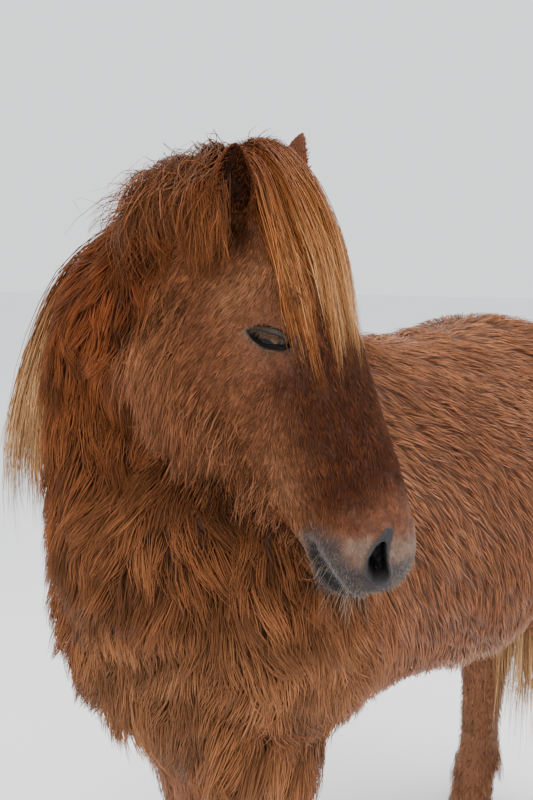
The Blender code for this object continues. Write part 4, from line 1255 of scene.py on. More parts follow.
def hoof(name, stations):
    """A hoof under a leg, with the swells of its growth."""
    x, front, _, _, back = stations[-1][:5]
    rows = ((0.0, -0.029, 0.003, 0.065), (0.003, -0.030, 0.004, 0.066), (0.020, -0.018, 0.002, 0.062),
            (HOOF_HEIGHT - 0.004, -0.004, 0.000, 0.057), (HOOF_HEIGHT + 0.004, 0.000, -0.002, 0.053))
    stations = [station((x, front + f, z), (x, back + b, z), w, 0, 2.2) for z, f, b, w in rows]
    points, faces = loft(stations, HOOF_RINGS, HOOF_SIDES)
    for ring in range(3, HOOF_RINGS - 2):
        part = points[ring * HOOF_SIDES:(ring + 1) * HOOF_SIDES]
        centre = part.mean(0)
        part[:] = centre + (part - centre) * (1 + 0.006 * math.sin(ring * 1.9))
    return make_object(name, points, faces)


def coat_length(sites):
    eye = np.linalg.norm(sites.mirrored - np.array(EYE_CENTRE), axis=1)
    face = 0.0210 - 0.013 * fade(0.070, 0.025, eye) + 0.030 * sites.jaw
    return drawn(0.056 + 0.024 * sites.belly + 0.026 * sites.chest,
                 (0.076 - 0.020 * sites.curls, sites.neck), (0.036, sites.leg), (0.024, sites.shin),
                 (face, sites.head), (0.0048, sites.muzzle))


def coat_width(sites):
    """Half the width of a tuft."""
    return drawn(0.0013 - 0.0001 * sites.chest, (0.0010, sites.neck), (0.0014, sites.leg),
                 (0.0012, sites.shin), (0.00052 + 0.0004 * sites.jaw, sites.head),
                 (0.00030, sites.muzzle))


def coat_rise(sites):
    """How far the tips stand out, as a part of the length."""
    return drawn(0.15 + 0.05 * sites.ruff + 0.12 * sites.belly, (0.22, sites.leg),
                 (0.17 + 0.10 * sites.jaw, sites.head), (0.14, sites.muzzle))


def coat_piece(name, surface, share, count, steps, every, pull, draw, unwrap):
    """One piece of the coat: tufts scattered over the skin, drawn together in locks."""
    roots, normals = surface.scatter(count, share, draw)
    sites = Sites(roots)
    ruff, head = sites.ruff[:, None], sites.head[:, None]
    lie = laid(lie_of_coat(sites) + draw.normal(0, 0.12, (count, 3)), normals)
    length = coat_length(sites) * draw.uniform(0.70, 1.25, count)
    lift = length * coat_rise(sites) * draw.uniform(0.5, 1.5, count)
    paths = tuft_paths(roots, normals, lie, length, lift, steps)
    swerve = lattice_noise(roots, 0.028, 12) * (0.5 + 0.5 * np.clip(sites.curls * 2, 0, 1))
    across = np.cross(normals, lie) * (swerve * length * 0.30)[:, None] * ruff
    for i in range(1, steps + 1):
        paths[:, i] += across * math.sin(1.5 * math.pi * i / steps)
    paths, leader = gathered(paths, every, pull)
    if unwrap is unwrap_neck:
        for i in range(1, steps + 1):
            paths[:, i] = surface.clear_of(paths[:, i], lift * (0.2 + 0.5 * i / steps))
    soft = np.clip(ruff + 0.5 * sites.leg[:, None] + 0.15 * head, 0, 1)
    shade = 1 + (draw.uniform(0.58, 1.42, count)[:, None] - 1) * (1 - 0.55 * soft)
    lock_shade = draw.uniform(0.70, 1.32, count)[leader][:, None]
    lock_shade = 1 + (lock_shade - 1) * (1 - 0.45 * sites.trunk[:, None] + 0.45 * ruff)
    tone = coat_tone(sites) * shade * lock_shade
    tip = tone * (1.7 - 0.35 * soft) + TIP_GLOW * (1 - np.maximum(0.6 * soft, 0.85 * head))
    bare = bare_skin(sites)
    tone = mixed(tone, SKIN_GREY * 1.3, bare * 0.8)
    tip = painted(tip, (SKIN_GREY * 2.5, bare * 0.9), (LIP_PALE * shade, np.clip(lip_rim(sites), 0, 1)))
    # Darker at the root: painted shade deep in the coat, between the tufts
    root = tone * (0.48 + 0.20 * soft * (1 - 0.8 * ruff))
    tones = toward_tips(root[:, None], tip[:, None], steps + 1)
    widths = tapered(steps + 1, coat_width(sites) * draw.uniform(0.7, 1.25, count))
    return hair_object(name, paths, widths, normals, tones, unwrap(roots))


def unwrap_head(points):
    return unwrapped(points, HEAD @ Vector((0, -0.10, 0)), HEAD.col[2][:3], (-0.08, 0.60),
                     HEAD.col[1][:3])


def unwrap_neck(points):
    return unwrapped(points, (-0.05, -0.52, 0.9), (0, -0.12, 1), (-0.35, 0.80), (0, 1, 0))


def unwrap_trunk(points):
    return unwrapped(points, (0, 0, 1.04), (0, 1, 0), (-0.80, 0.85), (0, 0, 1))


def unwrap_tail(points):
    return unwrapped(points, (0, 0.80, 0), (0, 0, 1), (0.3, 1.3), (0, -1, 0))


def unwrap_legs(points):
    """Each leg on its own quarter of the sheet."""
    spots = np.zeros((len(points), 2))
    quarter = (points[:, 0] > 0).astype(int) + 2 * (points[:, 1] > 0.1)
    for leg in range(4):
        chosen = quarter == leg
        if chosen.any():
            middle = points[chosen].mean(0)
            flat = unwrapped(points[chosen], (middle[0], middle[1], 0), (0, 0, 1), (0.0, 1.0), (0, 1, 0))
            spots[chosen] = (flat * (0.24, 1)) + (0.25 * leg, 0)
    return spots


def coat(surface, part):
    """The whole short and shaggy coat, by parts of the body."""
    sites = surface.sites
    oval = round_the_eye(sites.points)[3]
    bare = bare_skin(sites) * fade(1.6, 1.9, oval)
    face = sites.head * fade(1.05, 1.20, oval) * (1 - 0.70 * bare) * (1 - surface.hollow)
    neck = sites.body * np.clip(sites.neck, 0, 1)
    legs = sites.leg * (1 + sites.shin) * (sites.z > HOOF_HEIGHT - 0.002)
    face_left, body_left, neck_front = sites.in_head[:, 0] > 0, sites.x > 0, sites.y < -0.62
    rows = (
        # name, where, count, steps of each tuft, hairs to a lock, how far they are drawn in, unwrap
        ("face_coat_left", face * face_left, 25000, 2, 9, 0.35, unwrap_head),
        ("face_coat_right", face * ~face_left, 25000, 2, 9, 0.35, unwrap_head),
        ("neck_coat_front", neck * neck_front, 11300, 3, 26, 0.60, unwrap_neck),
        ("neck_coat_back", neck * ~neck_front, 11300, 3, 26, 0.60, unwrap_neck),
        ("chest_coat", sites.chest * (1 - sites.leg), 11300, 3, 26, 0.60, unwrap_neck),
        ("barrel_coat_left", sites.trunk * body_left, 19500, 2, 12, 0.50, unwrap_trunk),
        ("barrel_coat_right", sites.trunk * ~body_left, 19500, 2, 12, 0.50, unwrap_trunk),
        ("leg_coat", legs, 15000, 2, 8, 0.30, unwrap_legs),
    )
    seeds = np.random.SeedSequence(5).spawn(len(rows))
    return [coat_piece(name, surface, share, int(count * part), steps, every, pull,
                       np.random.default_rng(seed), unwrap)
            for (name, share, count, steps, every, pull, unwrap), seed in zip(rows, seeds)]


def guide(surface, root, heading, length, steps, lift, pull, sink=0.006):
    """One hair's path out of the skin, over the surface and down, and the way that it faces."""
    point, normal, _, _ = surface.tree.find_nearest(root)
    facing = normal.copy()
    heading = (heading - normal * heading.dot(normal) * 0.6).normalized()
    points = [point - normal * sink]
    for i in range(1, steps):
        heading = (heading + DOWN * pull).normalized()
        point = point + heading * length / (steps - 1)
        near, out, _, _ = surface.tree.find_nearest(point)
        height = lift * min(1.0, 0.30 + 0.70 * i / steps)
        if (point - near).dot(out) < height:
            point = near + out * height
        heading = (point - points[-1]).normalized()
        facing = facing + out * 0.3
        points.append(point)
    return points, facing.normalized()


def strands(guides, each, draw, spreads, shortest, ends):
    """Single strands round each guide, spreading towards their wavy tips.

    spreads are the spread at the root, at the tip, and the waves' height; ends, if given, is the
    part of each guide's length that its strands reach.
    """
    base = np.repeat(np.array([path for path, _ in guides]), each, axis=0)
    ups = np.repeat(np.array([facing for _, facing in guides]), each, axis=0)
    root_spread, tip_spread, wave = spreads
    count, steps = base.shape[:2]
    reach = draw.uniform(shortest, 1.0, count)[:, None] * np.linspace(0, steps - 1, steps)[None]
    if ends is not None:
        reach = reach * np.repeat(ends, each)[:, None]
    low = np.minimum(reach.astype(int), steps - 2)
    part = (reach - low)[..., None]
    rows = np.arange(count)[:, None]
    base = base[rows, low] * (1 - part) + base[rows, low + 1] * part
    along = np.linspace(0, 1, steps)[None, :, None]
    near, far = draw.normal(0, 1, (2, count, 1, 3))
    paths = base + near * root_spread * (1 - along) + (0.5 * near + 0.85 * far) * tip_spread * along
    phase = draw.uniform(0, 2 * math.pi, (count, 1, 3))
    turns = draw.uniform(4.0, 9.0, (count, 1, 1))
    loose = 1 + 2.5 * (draw.random((count, 1, 1)) > 0.93)
    return paths + np.sin(phase + along * turns) * wave * along * loose, ups


def strand_tones(paths, draw, colours, paler, turn):
    """Colours from root by the middle, reached at turn, to the tip, each strand a little its own.

    paler above 0 makes the tips paler, and below 0 darker.
    """
    root, middle, tip = colours
    count, steps = paths.shape[:2]
    part = np.linspace(0, 1, steps)[None, :, None]
    shade = draw.uniform(0.40, 1.50, (count, 1, 1))
    shift = draw.normal(0, 0.14, (count, 1, 1))
    part = np.clip(part + shift * part, 0, 1)
    low = root + (middle - root) * fade(0.0, turn, part)
    end = tip + (PALE_FLAXEN - tip) * np.maximum(paler, 0) + (middle - tip) * np.maximum(-paler, 0) * 1.5
    return (low + (end - low) * fade(turn - 0.15, 0.95, part)) * shade


def locks(name, guides, each, draw, spreads, colours, halves, unwrap, shortest, ends=None,
          paler=0.0, jitter=None, turn=0.5, taper=(0.7, 0.3), floor=-1.0):
    """One piece of hair: strands round guides, each guide a path and the way that it faces.

    jitter, if given, is the spread and the least of paler, which is then one value for each guide.
    taper is the share of the width at the root and the place of the full width, and floor is the
    least height of any point.
    """
    paths, ups = strands(guides, each, draw, spreads, shortest, ends)
    paths[..., 2] = np.maximum(paths[..., 2], floor)
    count, steps = paths.shape[:2]
    if jitter:
        paler = np.repeat(paler, each) + draw.normal(0, jitter[0], count)
        paler = np.clip(paler, jitter[1], 1)[:, None, None]
    tones = strand_tones(paths, draw, colours, paler, turn)
    widths = tapered(steps, draw.uniform(*halves, count), *taper)
    return hair_object(name, paths, widths, ups, tones, unwrap(paths[:, 0]))


def between_lines(lines, across, steps):
    """The smooth line at a place from 0 to 2 across three lines."""
    near, middle_line, far = (smooth_rows(line, steps) for line in lines)
    a, b, c = ((across - 1) * (across - 2) / 2, across * (2 - across), across * (across - 1) / 2)
    return near * a + middle_line * b + far * c


def settled(surface, line, inner):
    """A line drawn in towards the surface by a share of its height, and the way it faces."""
    path = []
    facing = Vector()
    for i, point in enumerate(line):
        near, out, _, _ = surface.tree.find_nearest(Vector(point))
        height = (Vector(point) - near).dot(out)
        height = max(height * (1 - inner), HAIR_HEIGHT if i else -HAIR_HEIGHT)
        path.append(near + out * height if height < FREE_HEIGHT else Vector(point))
        facing += out
    facing.normalize()
    path[0] = path[0] - facing * ROOT_DEPTH
    return path, facing


def forelock(surface, draw):
    """Hair from between the ears, arched over the forehead and falling past both eyes in locks."""
    guides, outer, ends = [], [], []
    part = np.linspace(0, 1, 12)
    for step in range(165):
        if step % 3 == 0:
            across, inner = 2.0 * draw.beta(1.15, 1.05), draw.random() ** 1.2 * 0.85
            lean, sway = draw.normal(0, 0.009), draw.normal(0, 0.0035, 2)
            turns, phase = draw.uniform(8, 15), draw.uniform(0, 6.3)
            end, pale = draw.uniform(0.78, 1.0), draw.normal(0, 0.40)
            high = draw.uniform(0.0, 0.018)
        line = between_lines(FORELOCK_LINES, np.clip(across + draw.normal(0, 0.045), 0, 2), 12)
        line[:, 2] += high * (1 - part)
        line[:, 0] += lean * part ** 0.5 * (1.2 - part)
        line[:, :2] += np.sin(part * turns + phase)[:, None] * sway * part[:, None]
        line += draw.normal(0, 0.0022, 3) * part[:, None]
        guides.append(settled(surface, carried(HEAD, line), inner))
        ends.append(end * draw.uniform(0.92, 1.0))
        outer.append(0.06 + 0.42 * (across - 1.0) - 0.75 * inner + pale)
    return locks("forelock", guides, 10, draw, (0.0050, 0.0013, 0.0028), (AUBURN, GOLD, FLAXEN),
                 (0.00040, 0.0009), unwrap_head, 0.80, ends, outer, (0.22, -0.8), 0.6)


def ear_locks(surface, draw):
    """Shaggy locks that hang from behind and from the foot of each ear."""
    guides = []
    part = np.linspace(0, 1, 8)[:, None]
    for side in (1, -1):
        for step in range(26):
            line = between_lines(EAR_LOCK_LINES, 2 * draw.random(), 8)
            line = line + draw.normal(0, 0.005, 3) * part
            line += np.sin(part * 9 + step) * draw.normal(0, 0.003, 3)
            line[:, 0] *= side
            guides.append(([Vector(p) for p in carried(HEAD, line)], HEAD_TURN @ Vector((side, 0, 0))))
        for step in range(10):
            share = step / 9
            root = Vector((side * (0.064 + 0.012 * share), -0.056 + 0.026 * share + draw.normal(0, 0.003),
                           -0.020 + 0.045 * share + draw.normal(0, 0.005)))
            heading = HEAD_TURN @ Vector((side * 0.9, -0.30, 0.55)) + DOWN * 0.4
            guides.append(guide(surface, HEAD @ root, heading, draw.uniform(0.070, 0.125), 8,
                                draw.uniform(0.008, 0.022), 0.45))
    return locks("ear_locks", guides, 15, draw, (0.0050, 0.0022, 0.0045),
                 (AUBURN * 0.7, CHESTNUT * 0.6, POLL_BROWN), (0.0005, 0.0011), unwrap_head, 0.55)


def middle_of(row):
    """The middle of a cross-section."""
    return (Vector(row[0:3]) + Vector(row[3:6])) / 2


def neck_section(level):
    """Centre, crest direction, left direction and forward direction of the neck at a level."""
    centres = [Vector(c).lerp(Vector(t), 0.5) for c, t, _ in NECK_ROWS]
    i = min(int(level), len(centres) - 2)
    u = level - i
    centre = centres[i].lerp(centres[i + 1], u)
    up = Vector(NECK_ROWS[i][0]).lerp(Vector(NECK_ROWS[i + 1][0]), u) - centre
    ahead = (centres[i + 1] - centres[i]).normalized()
    return centre, up, ahead.cross(up).normalized(), ahead


def mane(surface, draw):
    """The long mane that falls over the neck's right side."""
    guides, outer, ends = [], [], []
    for step in range(104):
        across = 2.0 * (step / 103) ** 2.4 + draw.normal(0, 0.03)
        inner = draw.random() * 0.75
        line = between_lines(MANE_LINES, across, 10)
        line += draw.normal(0, 0.006, 3) * np.linspace(0.4, 1, 10)[:, None]
        guides.append(settled(surface, line, inner))
        outer.append(1.0 - 0.4 * inner)
        ends.append(draw.uniform(0.76 if across > 0.3 else 0.88, 1.0))
    return locks("mane", guides, 13, draw, (0.006, 0.0050, 0.005), (AUBURN, CHESTNUT * 1.2, FLAXEN * 1.6),
                 (0.0008, 0.0017), unwrap_neck, 0.80, ends, outer, (0.25, 0), taper=(0.7, 0.5))


def poll_hair(surface, draw):
    """The curly tuft of the mane behind the right ear."""
    guides = []
    for _ in range(84):
        line = between_lines(POLL_LINES, draw.random() * 2, 9)
        line += draw.normal(0, 0.007, 3) * np.linspace(0.3, 1, 9)[:, None]
        guides.append(settled(surface, carried(HEAD, line), draw.random() ** 1.4 * 0.9))
    return locks("poll_hair", guides, 12, draw, (0.0045, 0.0035, 0.0105),
                 (AUBURN * 0.7, CHESTNUT * 0.5, POLL_BROWN), (0.0005, 0.0011), unwrap_neck, 0.45)


def crest_hair(surface, draw):
    """Shorter curly hair along the crest, on both sides."""
    guides = []
    for step in range(116):
        level = 0.40 + 5.30 * step / 115
        centre, up, left, ahead = neck_section(level)
        side = 1 if step % 2 else -1
        root = centre + up * 1.05 + left * side * draw.uniform(0.002, 0.030)
        heading = left * side + up.normalized() * draw.uniform(0.1, 0.8) - ahead * draw.uniform(-0.3, 0.4)
        length = draw.uniform(0.10, 0.19) * (1.25 if level < 3 else 0.95)
        lift = draw.uniform(0.006, 0.012 + 0.018 * min(level / 2, 1))
        lift += 0.030 * draw.random() if side > 0 and level > 2.2 else 0
        guides.append(guide(surface, root, heading, length, 8, lift, 0.30))
    return locks("crest_hair", guides, 12, draw, (0.0060, 0.010, 0.0075),
                 (AUBURN * 0.9, CHESTNUT * 0.8, POLL_BROWN * 1.1), (0.0007, 0.0014), unwrap_neck, 0.6)


def beard(surface, draw):
    """Longer hair along both sides of the lower jaw and under the chin."""
    guides = []
    sites = surface.sites
    where = sites.head * fade(-0.085, -0.150, sites.out + 0.05 * fade(0.36, 0.46, sites.along))
    where = where * fade(0.06, 0.12, sites.along) * fade(0.50, 0.46, sites.along)
    for root in surface.scatter(90, where, draw)[0]:
        side, _, along = HEAD_INVERSE @ Vector(root)
        heading = HEAD_TURN @ Vector((side * 2, -0.85, 0.35))
        length = draw.uniform(0.055, 0.090) * (1 - 0.60 * max(along - 0.33, 0) / 0.14)
        guides.append(guide(surface, Vector(root), heading, length, 6, 0.008, 0.35, sink=0.002))
    return locks("beard", guides, 17, draw, (0.009, 0.006, 0.004),
                 (FACE_BROWN * 0.6, CHEEK_BROWN, CHEEK_BROWN * 1.5), (0.0005, 0.0010), unwrap_head, 0.5,
                 taper=(0.5, 0.35))


def lip_hairs(name, surface, draw, where, count, steps, heading, stray, lengths, rise, droop,
              shades, halves):
    """Single hairs on the muzzle, each at its own angle and pale at the tip."""
    roots, normals = surface.scatter(count, where, draw)
    out, forward, down = heading
    lie = unit(HEAD_AXES @ np.array((0, forward, down)) + normals * out + draw.normal(0, stray, (count, 3)))
    length = draw.uniform(*lengths, count)
    paths = tuft_paths(roots, normals, lie, length, length * rise, steps, droop=droop)
    part = np.linspace(0, 1, steps + 1)[None, :, None]
    root_shade, *tip_shades = shades
    tones = (WHISKER * root_shade) * (1 - part) + WHISKER * part * draw.uniform(*tip_shades, (count, 1, 1))
    half = draw.uniform(*halves, count)
    return hair_object(name, paths, tapered(steps + 1, half), normals, tones, unwrap_head(roots))


def whiskers(surface, draw):
    """Stiff hairs round the lips and on the chin."""
    sites = surface.sites
    mouth, _ = by_the_mouth(sites.mirrored)
    where = sites.head * fade(0.036, 0.012, mouth) * fade(0.44, 0.48, sites.along)
    return lip_hairs("whiskers", surface, draw, where, 80, 5, (0.8, -0.45, 0.60), 0.30, (0.014, 0.040), 0.1,
                     0.25, (0.3, 0.6, 1.3), (0.00018, 0.00032))


def lip_fuzz(surface, draw):
    """Short pale hairs that catch the light along the lips and round the nose."""
    sites = surface.sites
    mouth, _ = by_the_mouth(sites.mirrored)
    nostril, _ = along_path(sites.mirrored, NOSTRIL_LINE)
    where = np.maximum(charcoal_skin(sites, 0) * 0.6, fade(0.030, 0.006, mouth)) * sites.head
    where = where * (1 - 0.85 * lower_lip(sites)) * fade(0.020, 0.026, nostril)
    return lip_hairs("lip_fuzz", surface, draw, where, 1300, 3, (0.5, -0.30, 0.70), 0.20, (0.0025, 0.0060),
                     0.25, 0.0, (0.4, 0.5, 1.2), (0.00016, 0.00028))


def feathers(surface, draw):
    """Hair behind each fetlock, falling over the heel, and over the crown of the hoof."""
    guides = []
    for side in (1, -1):
        for stations in (foreleg_stations(side), hindleg_stations(side)):
            centre = middle_of(stations[-4])
            for step in range(26):
                turn = math.radians(-180 + 360 * step / 26)
                behind = math.cos(turn / 2)
                root = centre + Vector((0.09 * math.sin(turn), 0.09 * math.cos(turn),
                                        -0.060 + 0.125 * behind + draw.uniform(-0.01, 0.01)))
                heading = Vector((0.10 * math.sin(turn), 0.35 * math.cos(turn), -1))
                path, facing = guide(surface, root, heading, 0.040 + 0.095 * behind ** 2, 6, 0.004,
                                     0.2, sink=0.002)
                guides.append(([Vector((p.x, p.y, max(p.z, 0.004))) for p in path], facing))
    return locks("fetlock_hair", guides, 16, draw, (0.0070, 0.005, 0.002),
                 (LEG_BROWN * 0.5, LEG_BROWN, BARREL_BROWN), (0.0006, 0.0012), unwrap_legs, 0.6,
                 taper=(0.5, 0.35), floor=0.003)


def tail_stations():
    rows = (
        # front (y, z), back (y, z), half width
        ((0.640, 1.190), (0.680, 1.250), 0.028),
        ((0.710, 1.130), (0.765, 1.185), 0.036),
        ((0.755, 1.040), (0.825, 1.065), 0.044),
        ((0.775, 0.900), (0.855, 0.910), 0.048),
        ((0.785, 0.740), (0.855, 0.740), 0.044),
        ((0.795, 0.580), (0.845, 0.580), 0.032),
        ((0.810, 0.480), (0.835, 0.480), 0.014),
    )
    return [station((0.006, *b), (0.006, *f), w) for f, b, w in rows]


def tail_core():
    """The dock and the densest hair under the tail's strands, coloured dark as painted shade behind them.
    """
    stations = tail_stations()
    for row in stations:
        top, bottom = np.array(row[0:3]), np.array(row[3:6])
        centre = (top + bottom) / 2
        row[0:3] = centre + (top - centre) * DOCK_SHARE
        row[3:6] = centre + (bottom - centre) * DOCK_SHARE
        row[6] *= DOCK_SHARE
    core = make_object("tail_core", *loft(stations[:6], 30, 16))
    # Painted shade: a dark brown that reads as the shadow behind the strands
    set_tone(core, np.tile(AUBURN * 0.4, (len(core.data.vertices), 1)))
    return core


def tail_hair(core, draw):
    """Long strands from the tail's root to below the hocks."""
    surface = Surface(core)
    rows = smooth_rows(tail_stations(), 60)
    guides, ends = [], []
    for step in range(62):
        centre = middle_of(rows[1 + int(41 * (step / 61) ** 1.7)])
        turn = math.radians(137.5 * step)
        out = Vector((math.sin(turn), 0.75 * math.cos(turn) + 0.3, 0))
        guides.append(guide(surface, centre + out * 0.2, out * 0.5 + DOWN, centre.z - 0.235, 11,
                            draw.uniform(0.006, 0.026), 0.45))
        ends.append(1 - 0.32 * draw.random() ** 1.5)
    return locks("tail_hair", guides, 26, draw, (0.008, 0.012, 0.008), (AUBURN, GOLD, FLAXEN),
                 (0.0008, 0.0018), unwrap_tail, 0.80, ends, 0.4, taper=(0.7, 0.5))


class Value:
    """A shader socket that takes part in sums."""

    def __init__(self, look, socket):
        self.look = look
        self.socket = socket

    def joined_with(self, other, operation):
        return self.look.node("ShaderNodeMath", {"operation": operation}, {0: self, 1: other})

    def __add__(self, other):
        return self.joined_with(other, "ADD")

    def __mul__(self, other):
        return self.joined_with(other, "MULTIPLY")


class Look:
    """One material and the nodes that make it."""

    def __init__(self, name, **fixed):
        self.material = bpy.data.materials.new(name)
        self.material.use_nodes = True
        self.tree = self.material.node_tree
        self.tree.nodes.clear()
        self.shader = self.tree.nodes.new("ShaderNodeBsdfPrincipled")
        out = self.tree.nodes.new("ShaderNodeOutputMaterial")
        self.tree.links.new(self.shader.outputs[0], out.inputs["Surface"])
        for socket, value in fixed.items():
            self.shader.inputs[socket.replace("_", " ")].default_value = value

    def node(self, kind, settings=None, inputs=None, output=0):
        """A node of a type, with its settings made first and then its sockets."""
        made = self.tree.nodes.new(kind)
        for key, value in (settings or {}).items():
            setattr(made, key, value)
        for key, value in (inputs or {}).items():
            if isinstance(value, Value):
                self.tree.links.new(value.socket, made.inputs[key])
            else:
                made.inputs[key].default_value = value
        return Value(self, made.outputs[output])

    def feed(self, socket, value):
        self.tree.links.new(value.socket, self.shader.inputs[socket])

    def place(self):
        return self.node("ShaderNodeTexCoord", output="Object")

    def stretched(self, scale):
        return self.node("ShaderNodeMapping", None, {"Vector": self.place(), "Scale": scale})

    def noise(self, scale, detail=2.0, where=None):
        return self.node("ShaderNodeTexNoise", None,
                         {"Vector": where or self.place(), "Scale": scale, "Detail": detail})

    def tone(self):
        return self.node("ShaderNodeAttribute", {"attribute_name": "tone"}, output="Color")

    def mixed(self, a, b, factor, blend="MULTIPLY"):
        settings = {"data_type": "RGBA", "blend_type": blend}
        return self.node("ShaderNodeMix", settings, {0: factor, 6: a, 7: b}, 2)

    def bump(self, height, strength, distance):
        return self.node("ShaderNodeBump", None,
                         {"Height": height, "Strength": strength, "Distance": distance})


def coat_look():
    look = Look("coat", Roughness=0.52, Specular_IOR_Level=0.16, Specular_Tint=WARM_GLINT)
    tone = look.tone()
    broad = look.noise(26.0, 3.0)
    colour = look.mixed(tone, (1.0, 0.92, 0.86, 1.0), broad * 0.08)
    darker = look.mixed(colour, (0.55, 0.48, 0.44, 1.0), look.noise(210.0) * 0.35)
    look.feed("Base Color", darker)
    look.feed("Roughness", look.noise(90.0) * 0.25 + 0.40)
    return look.material


def long_hair_look():
    look = Look("long_hair", Roughness=0.40, Specular_IOR_Level=0.30, Specular_Tint=WARM_GLINT)
    tone = look.tone()
    fine = look.noise(420.0, 2.0, look.stretched((1.0, 1.0, 0.12)))
    look.feed("Base Color", look.mixed(tone, (0.62, 0.52, 0.42, 1.0), fine * 0.55))
    look.feed("Roughness", fine * 0.30 + 0.28)
    return look.material


def skin_look():
    look = Look("hide", Roughness=0.6, Specular_IOR_Level=0.16)
    tone = look.tone()
    fine = look.noise(650.0, 3.0, look.stretched((1.0, 1.0, 0.22)))
    broad = look.noise(40.0, 4.0)
    colour = look.mixed(tone, (0.30, 0.25, 0.22, 1.0), fine)
    look.feed("Base Color", look.mixed(colour, (0.8, 0.72, 0.66, 1.0), broad * 0.4))
    look.feed("Roughness", fine * 0.3 + 0.42)
    look.feed("Normal", look.bump(fine + broad * 0.3, 0.6, 0.0012))
    return look.material


def eye_look():
    look = Look("eye", Roughness=0.05, Specular_IOR_Level=0.13)
    tone = look.tone()
    look.feed("Base Color", look.mixed(tone, (0.6, 0.5, 0.4, 1.0), look.noise(900.0) * 0.5))
    return look.material


def lid_look():
    look = Look("lid_skin", Roughness=0.5, Specular_IOR_Level=0.06)
    fine = look.noise(1400.0, 3.0)
    broad = look.noise(150.0, 2.0)
    colour = look.mixed(look.tone(), (0.55, 0.5, 0.48, 1.0), broad)
    look.feed("Base Color", look.mixed(colour, (0.3, 0.3, 0.3, 1.0), fine * 0.5))
    look.feed("Roughness", fine * 0.25 + 0.30)
    look.feed("Normal", look.bump(fine, 0.5, 0.0004))
    return look.material


def ear_look():
    look = Look("ear_skin", Roughness=0.6, Specular_IOR_Level=0.12)
    fine = look.noise(700.0, 3.0)
    look.feed("Base Color", look.mixed(look.tone(), (0.5, 0.45, 0.4, 1.0), fine * 0.6))
    look.feed("Roughness", fine * 0.25 + 0.45)
    look.feed("Normal", look.bump(fine, 0.5, 0.0006))
    return look.material


def horn_look():
    look = Look("hoof_horn", Roughness=0.5, Specular_IOR_Level=0.4)
    grain = look.noise(300.0, 3.0, look.stretched((1.0, 1.0, 0.06)))
    rings = look.noise(120.0, 2.0, look.stretched((0.03, 0.03, 1.0)))
    colour = look.mixed((0.035, 0.028, 0.022, 1.0), (0.150, 0.110, 0.075, 1.0), grain, "MIX")
    look.feed("Base Color", look.mixed(colour, (0.55, 0.50, 0.45, 1.0), rings * 0.6))
    look.feed("Roughness", grain * 0.3 + 0.38)
    look.feed("Normal", look.bump(grain * 0.5 + rings, 0.5, 0.0010))
    return look.material


def floor_look():
    look = Look("pale_floor", Roughness=0.8)
    broad = look.noise(1.5)
    look.feed("Base Color", look.mixed((0.88, 0.88, 0.885, 1.0), (0.92, 0.92, 0.925, 1.0), broad, "MIX"))
    return look.material


def set_tone(obj, tones):
    """A colour for each point of a mesh."""
    layer = obj.data.color_attributes.new("tone", "FLOAT_COLOR", "POINT")
    rows = np.ones((len(tones), 4))
    rows[:, :3] = tones
    layer.data.foreach_set("color", rows.ravel())


def dress(obj, material, smooth=True):
    """An object in one material."""
    obj.data.materials.clear()
    obj.data.materials.append(material)
    if smooth:
        obj.data.polygons.foreach_set("use_smooth", np.ones(len(obj.data.polygons), bool))
    return obj


def middle(box):
    return (Vector(box[0]) + Vector(box[1])) / 2


def set_camera(shift):
    """In front of the horse and a little to its left, near the height of the eyes."""
    data = bpy.data.cameras.new("camera")
    data.lens = LENS
    data.sensor_width = LONG_SIDE
    camera = placed("camera", data)
    camera.location = CAMERA_PLACE + shift
    camera.rotation_euler = (math.pi / 2 - CAMERA_DOWN, 0, CAMERA_YAW)
    bpy.context.scene.camera = camera


def lamp(name, place, target, size, power, colour):
    """A round, soft lamp that faces a target."""
    data = bpy.data.lights.new(name, "AREA")
    data.shape = "DISK"
    data.size = size
    data.energy = power
    data.color = colour
    obj = placed(name, data)
    obj.location = place
    obj.rotation_euler = (Vector(target) - Vector(place)).to_track_quat("-Z", "Y").to_euler()


def set_light():
    """Soft light from a pale room, a large lamp above and a weaker one from the front."""
    world = bpy.data.worlds.new("pale_room")
    world.use_nodes = True
    world.node_tree.nodes["Background"].inputs["Color"].default_value = (0.95, 0.97, 1.0, 1)
    world.node_tree.nodes["Background"].inputs["Strength"].default_value = ROOM_LIGHT
    bpy.context.scene.world = world
    lamp("above", (1.5, 0.5, 5.0), (0, -0.2, 1.0), 4.0, 330, (1.0, 0.98, 0.95))
    lamp("front", (2.2, -4.0, 3.0), (0, -0.4, 1.2), 2.6, 150, (1.0, 0.97, 0.94))


def set_floor():
    bpy.ops.mesh.primitive_plane_add(size=FLOOR_SIZE)
    floor = bpy.context.object
    floor.name = "floor"
    floor.data.transform(Matrix.Translation((0, 0, -FLOOR_DROP)))
    dress(floor, floor_look(), smooth=False)


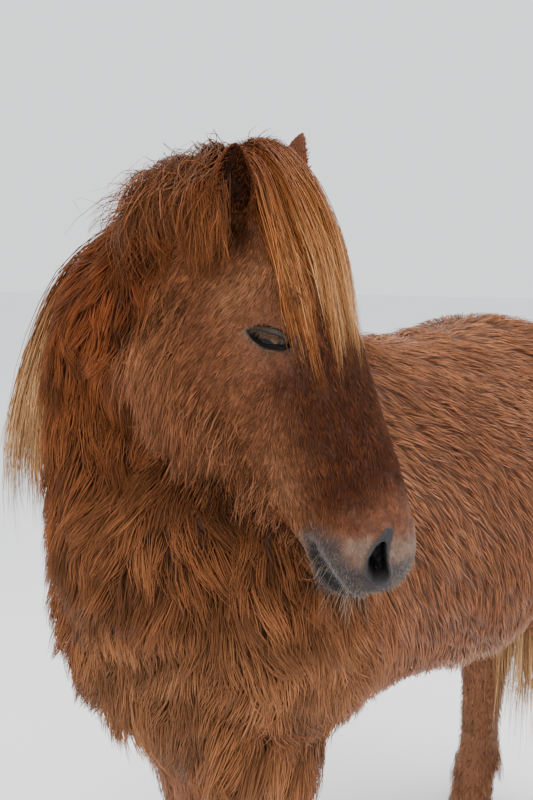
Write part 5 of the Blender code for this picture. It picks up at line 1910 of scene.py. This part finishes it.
def hide():
    """The skin with its colours, painted near black as shade inside the nostrils, and where it is hollow.
    """
    obj, hollow = skin()
    with opened(obj.data) as made:
        bmesh.ops.triangulate(made, faces=made.faces)
    sites = Sites(mesh_arrays(obj.data)[0])
    depth = 0.60 + 0.45 * np.clip(sites.leg + sites.head, 0, 1)
    bare = np.maximum(bare_skin(sites), hollow)
    bare = np.maximum(bare, sites.muzzle * (0.15 + 0.75 * charcoal_skin(sites, 0)))
    grey = SKIN_GREY * (1 + 1.2 * sites.muzzle)[:, None]
    tones = painted(coat_tone(sites) * depth[:, None], (grey, bare), (SKIN_GREY * 12, lip_rim(sites) * 0.8))
    tones = tones * (1 - LIP_SHADE * lower_lip(sites))[:, None]
    # Painted shade: near black inside the nostrils
    set_tone(obj, tones * (1 - 0.92 * hollow)[:, None])
    return obj, hollow


def main():
    """The dressed horse on its floor, in its light."""
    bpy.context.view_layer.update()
    shift = middle(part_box("eye_right")) - eye_frame(-1).translation
    part = 1.0
    obj, hollow = hide()
    surface = Surface(obj, hollow)
    fur, long_hair = coat_look(), long_hair_look()
    pieces = [(obj, skin_look(), "coat", FLESH)]
    pieces += [(piece, fur, "coat", ()) for piece in coat(surface, part)]
    draw = np.random.default_rng(17)
    for make in (forelock, mane, crest_hair, poll_hair):
        pieces.append((make(surface, draw), long_hair, "long_hair", ()))
    for make in (ear_locks, beard, whiskers, lip_fuzz, feathers):
        pieces.append((make(surface, draw), fur, "coat", ()))
    core = tail_core()
    pieces.append((core, long_hair, "long_hair", ()))
    pieces.append((tail_hair(core, draw), long_hair, "long_hair", ("tail",)))
    lids, shells, eyes, horn = lid_look(), ear_look(), eye_look(), horn_look()
    for side, word in SIDES.items():
        pieces += [(eyeball(side), eyes, "eye", ("eye_" + word,)),
                   (lid(side, True), lids, "coat", ()),
                   (lid(side, False), lids, "coat", ()),
                   (lashes(side), fur, "coat", ()),
                   (ear(side), shells, "coat", ("ear_" + word,)),
                   (ear_hair(side, draw), fur, "coat", ())]
        for end, stations in (("fore", foreleg_stations(side)), ("hind", hindleg_stations(side))):
            name = end + "_hoof_" + word
            pieces.append((hoof(name, stations), horn, "hoof_horn", ("hoof_" + end + "_" + word,)))
    for obj, look, finish, nodes in pieces:
        dress(obj, look)
        obj.data.transform(Matrix.Translation(shift))
        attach(obj, "root")
        if nodes:
            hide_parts(*nodes)
    set_floor()
    set_light()
    set_camera(shift)


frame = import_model()
main()
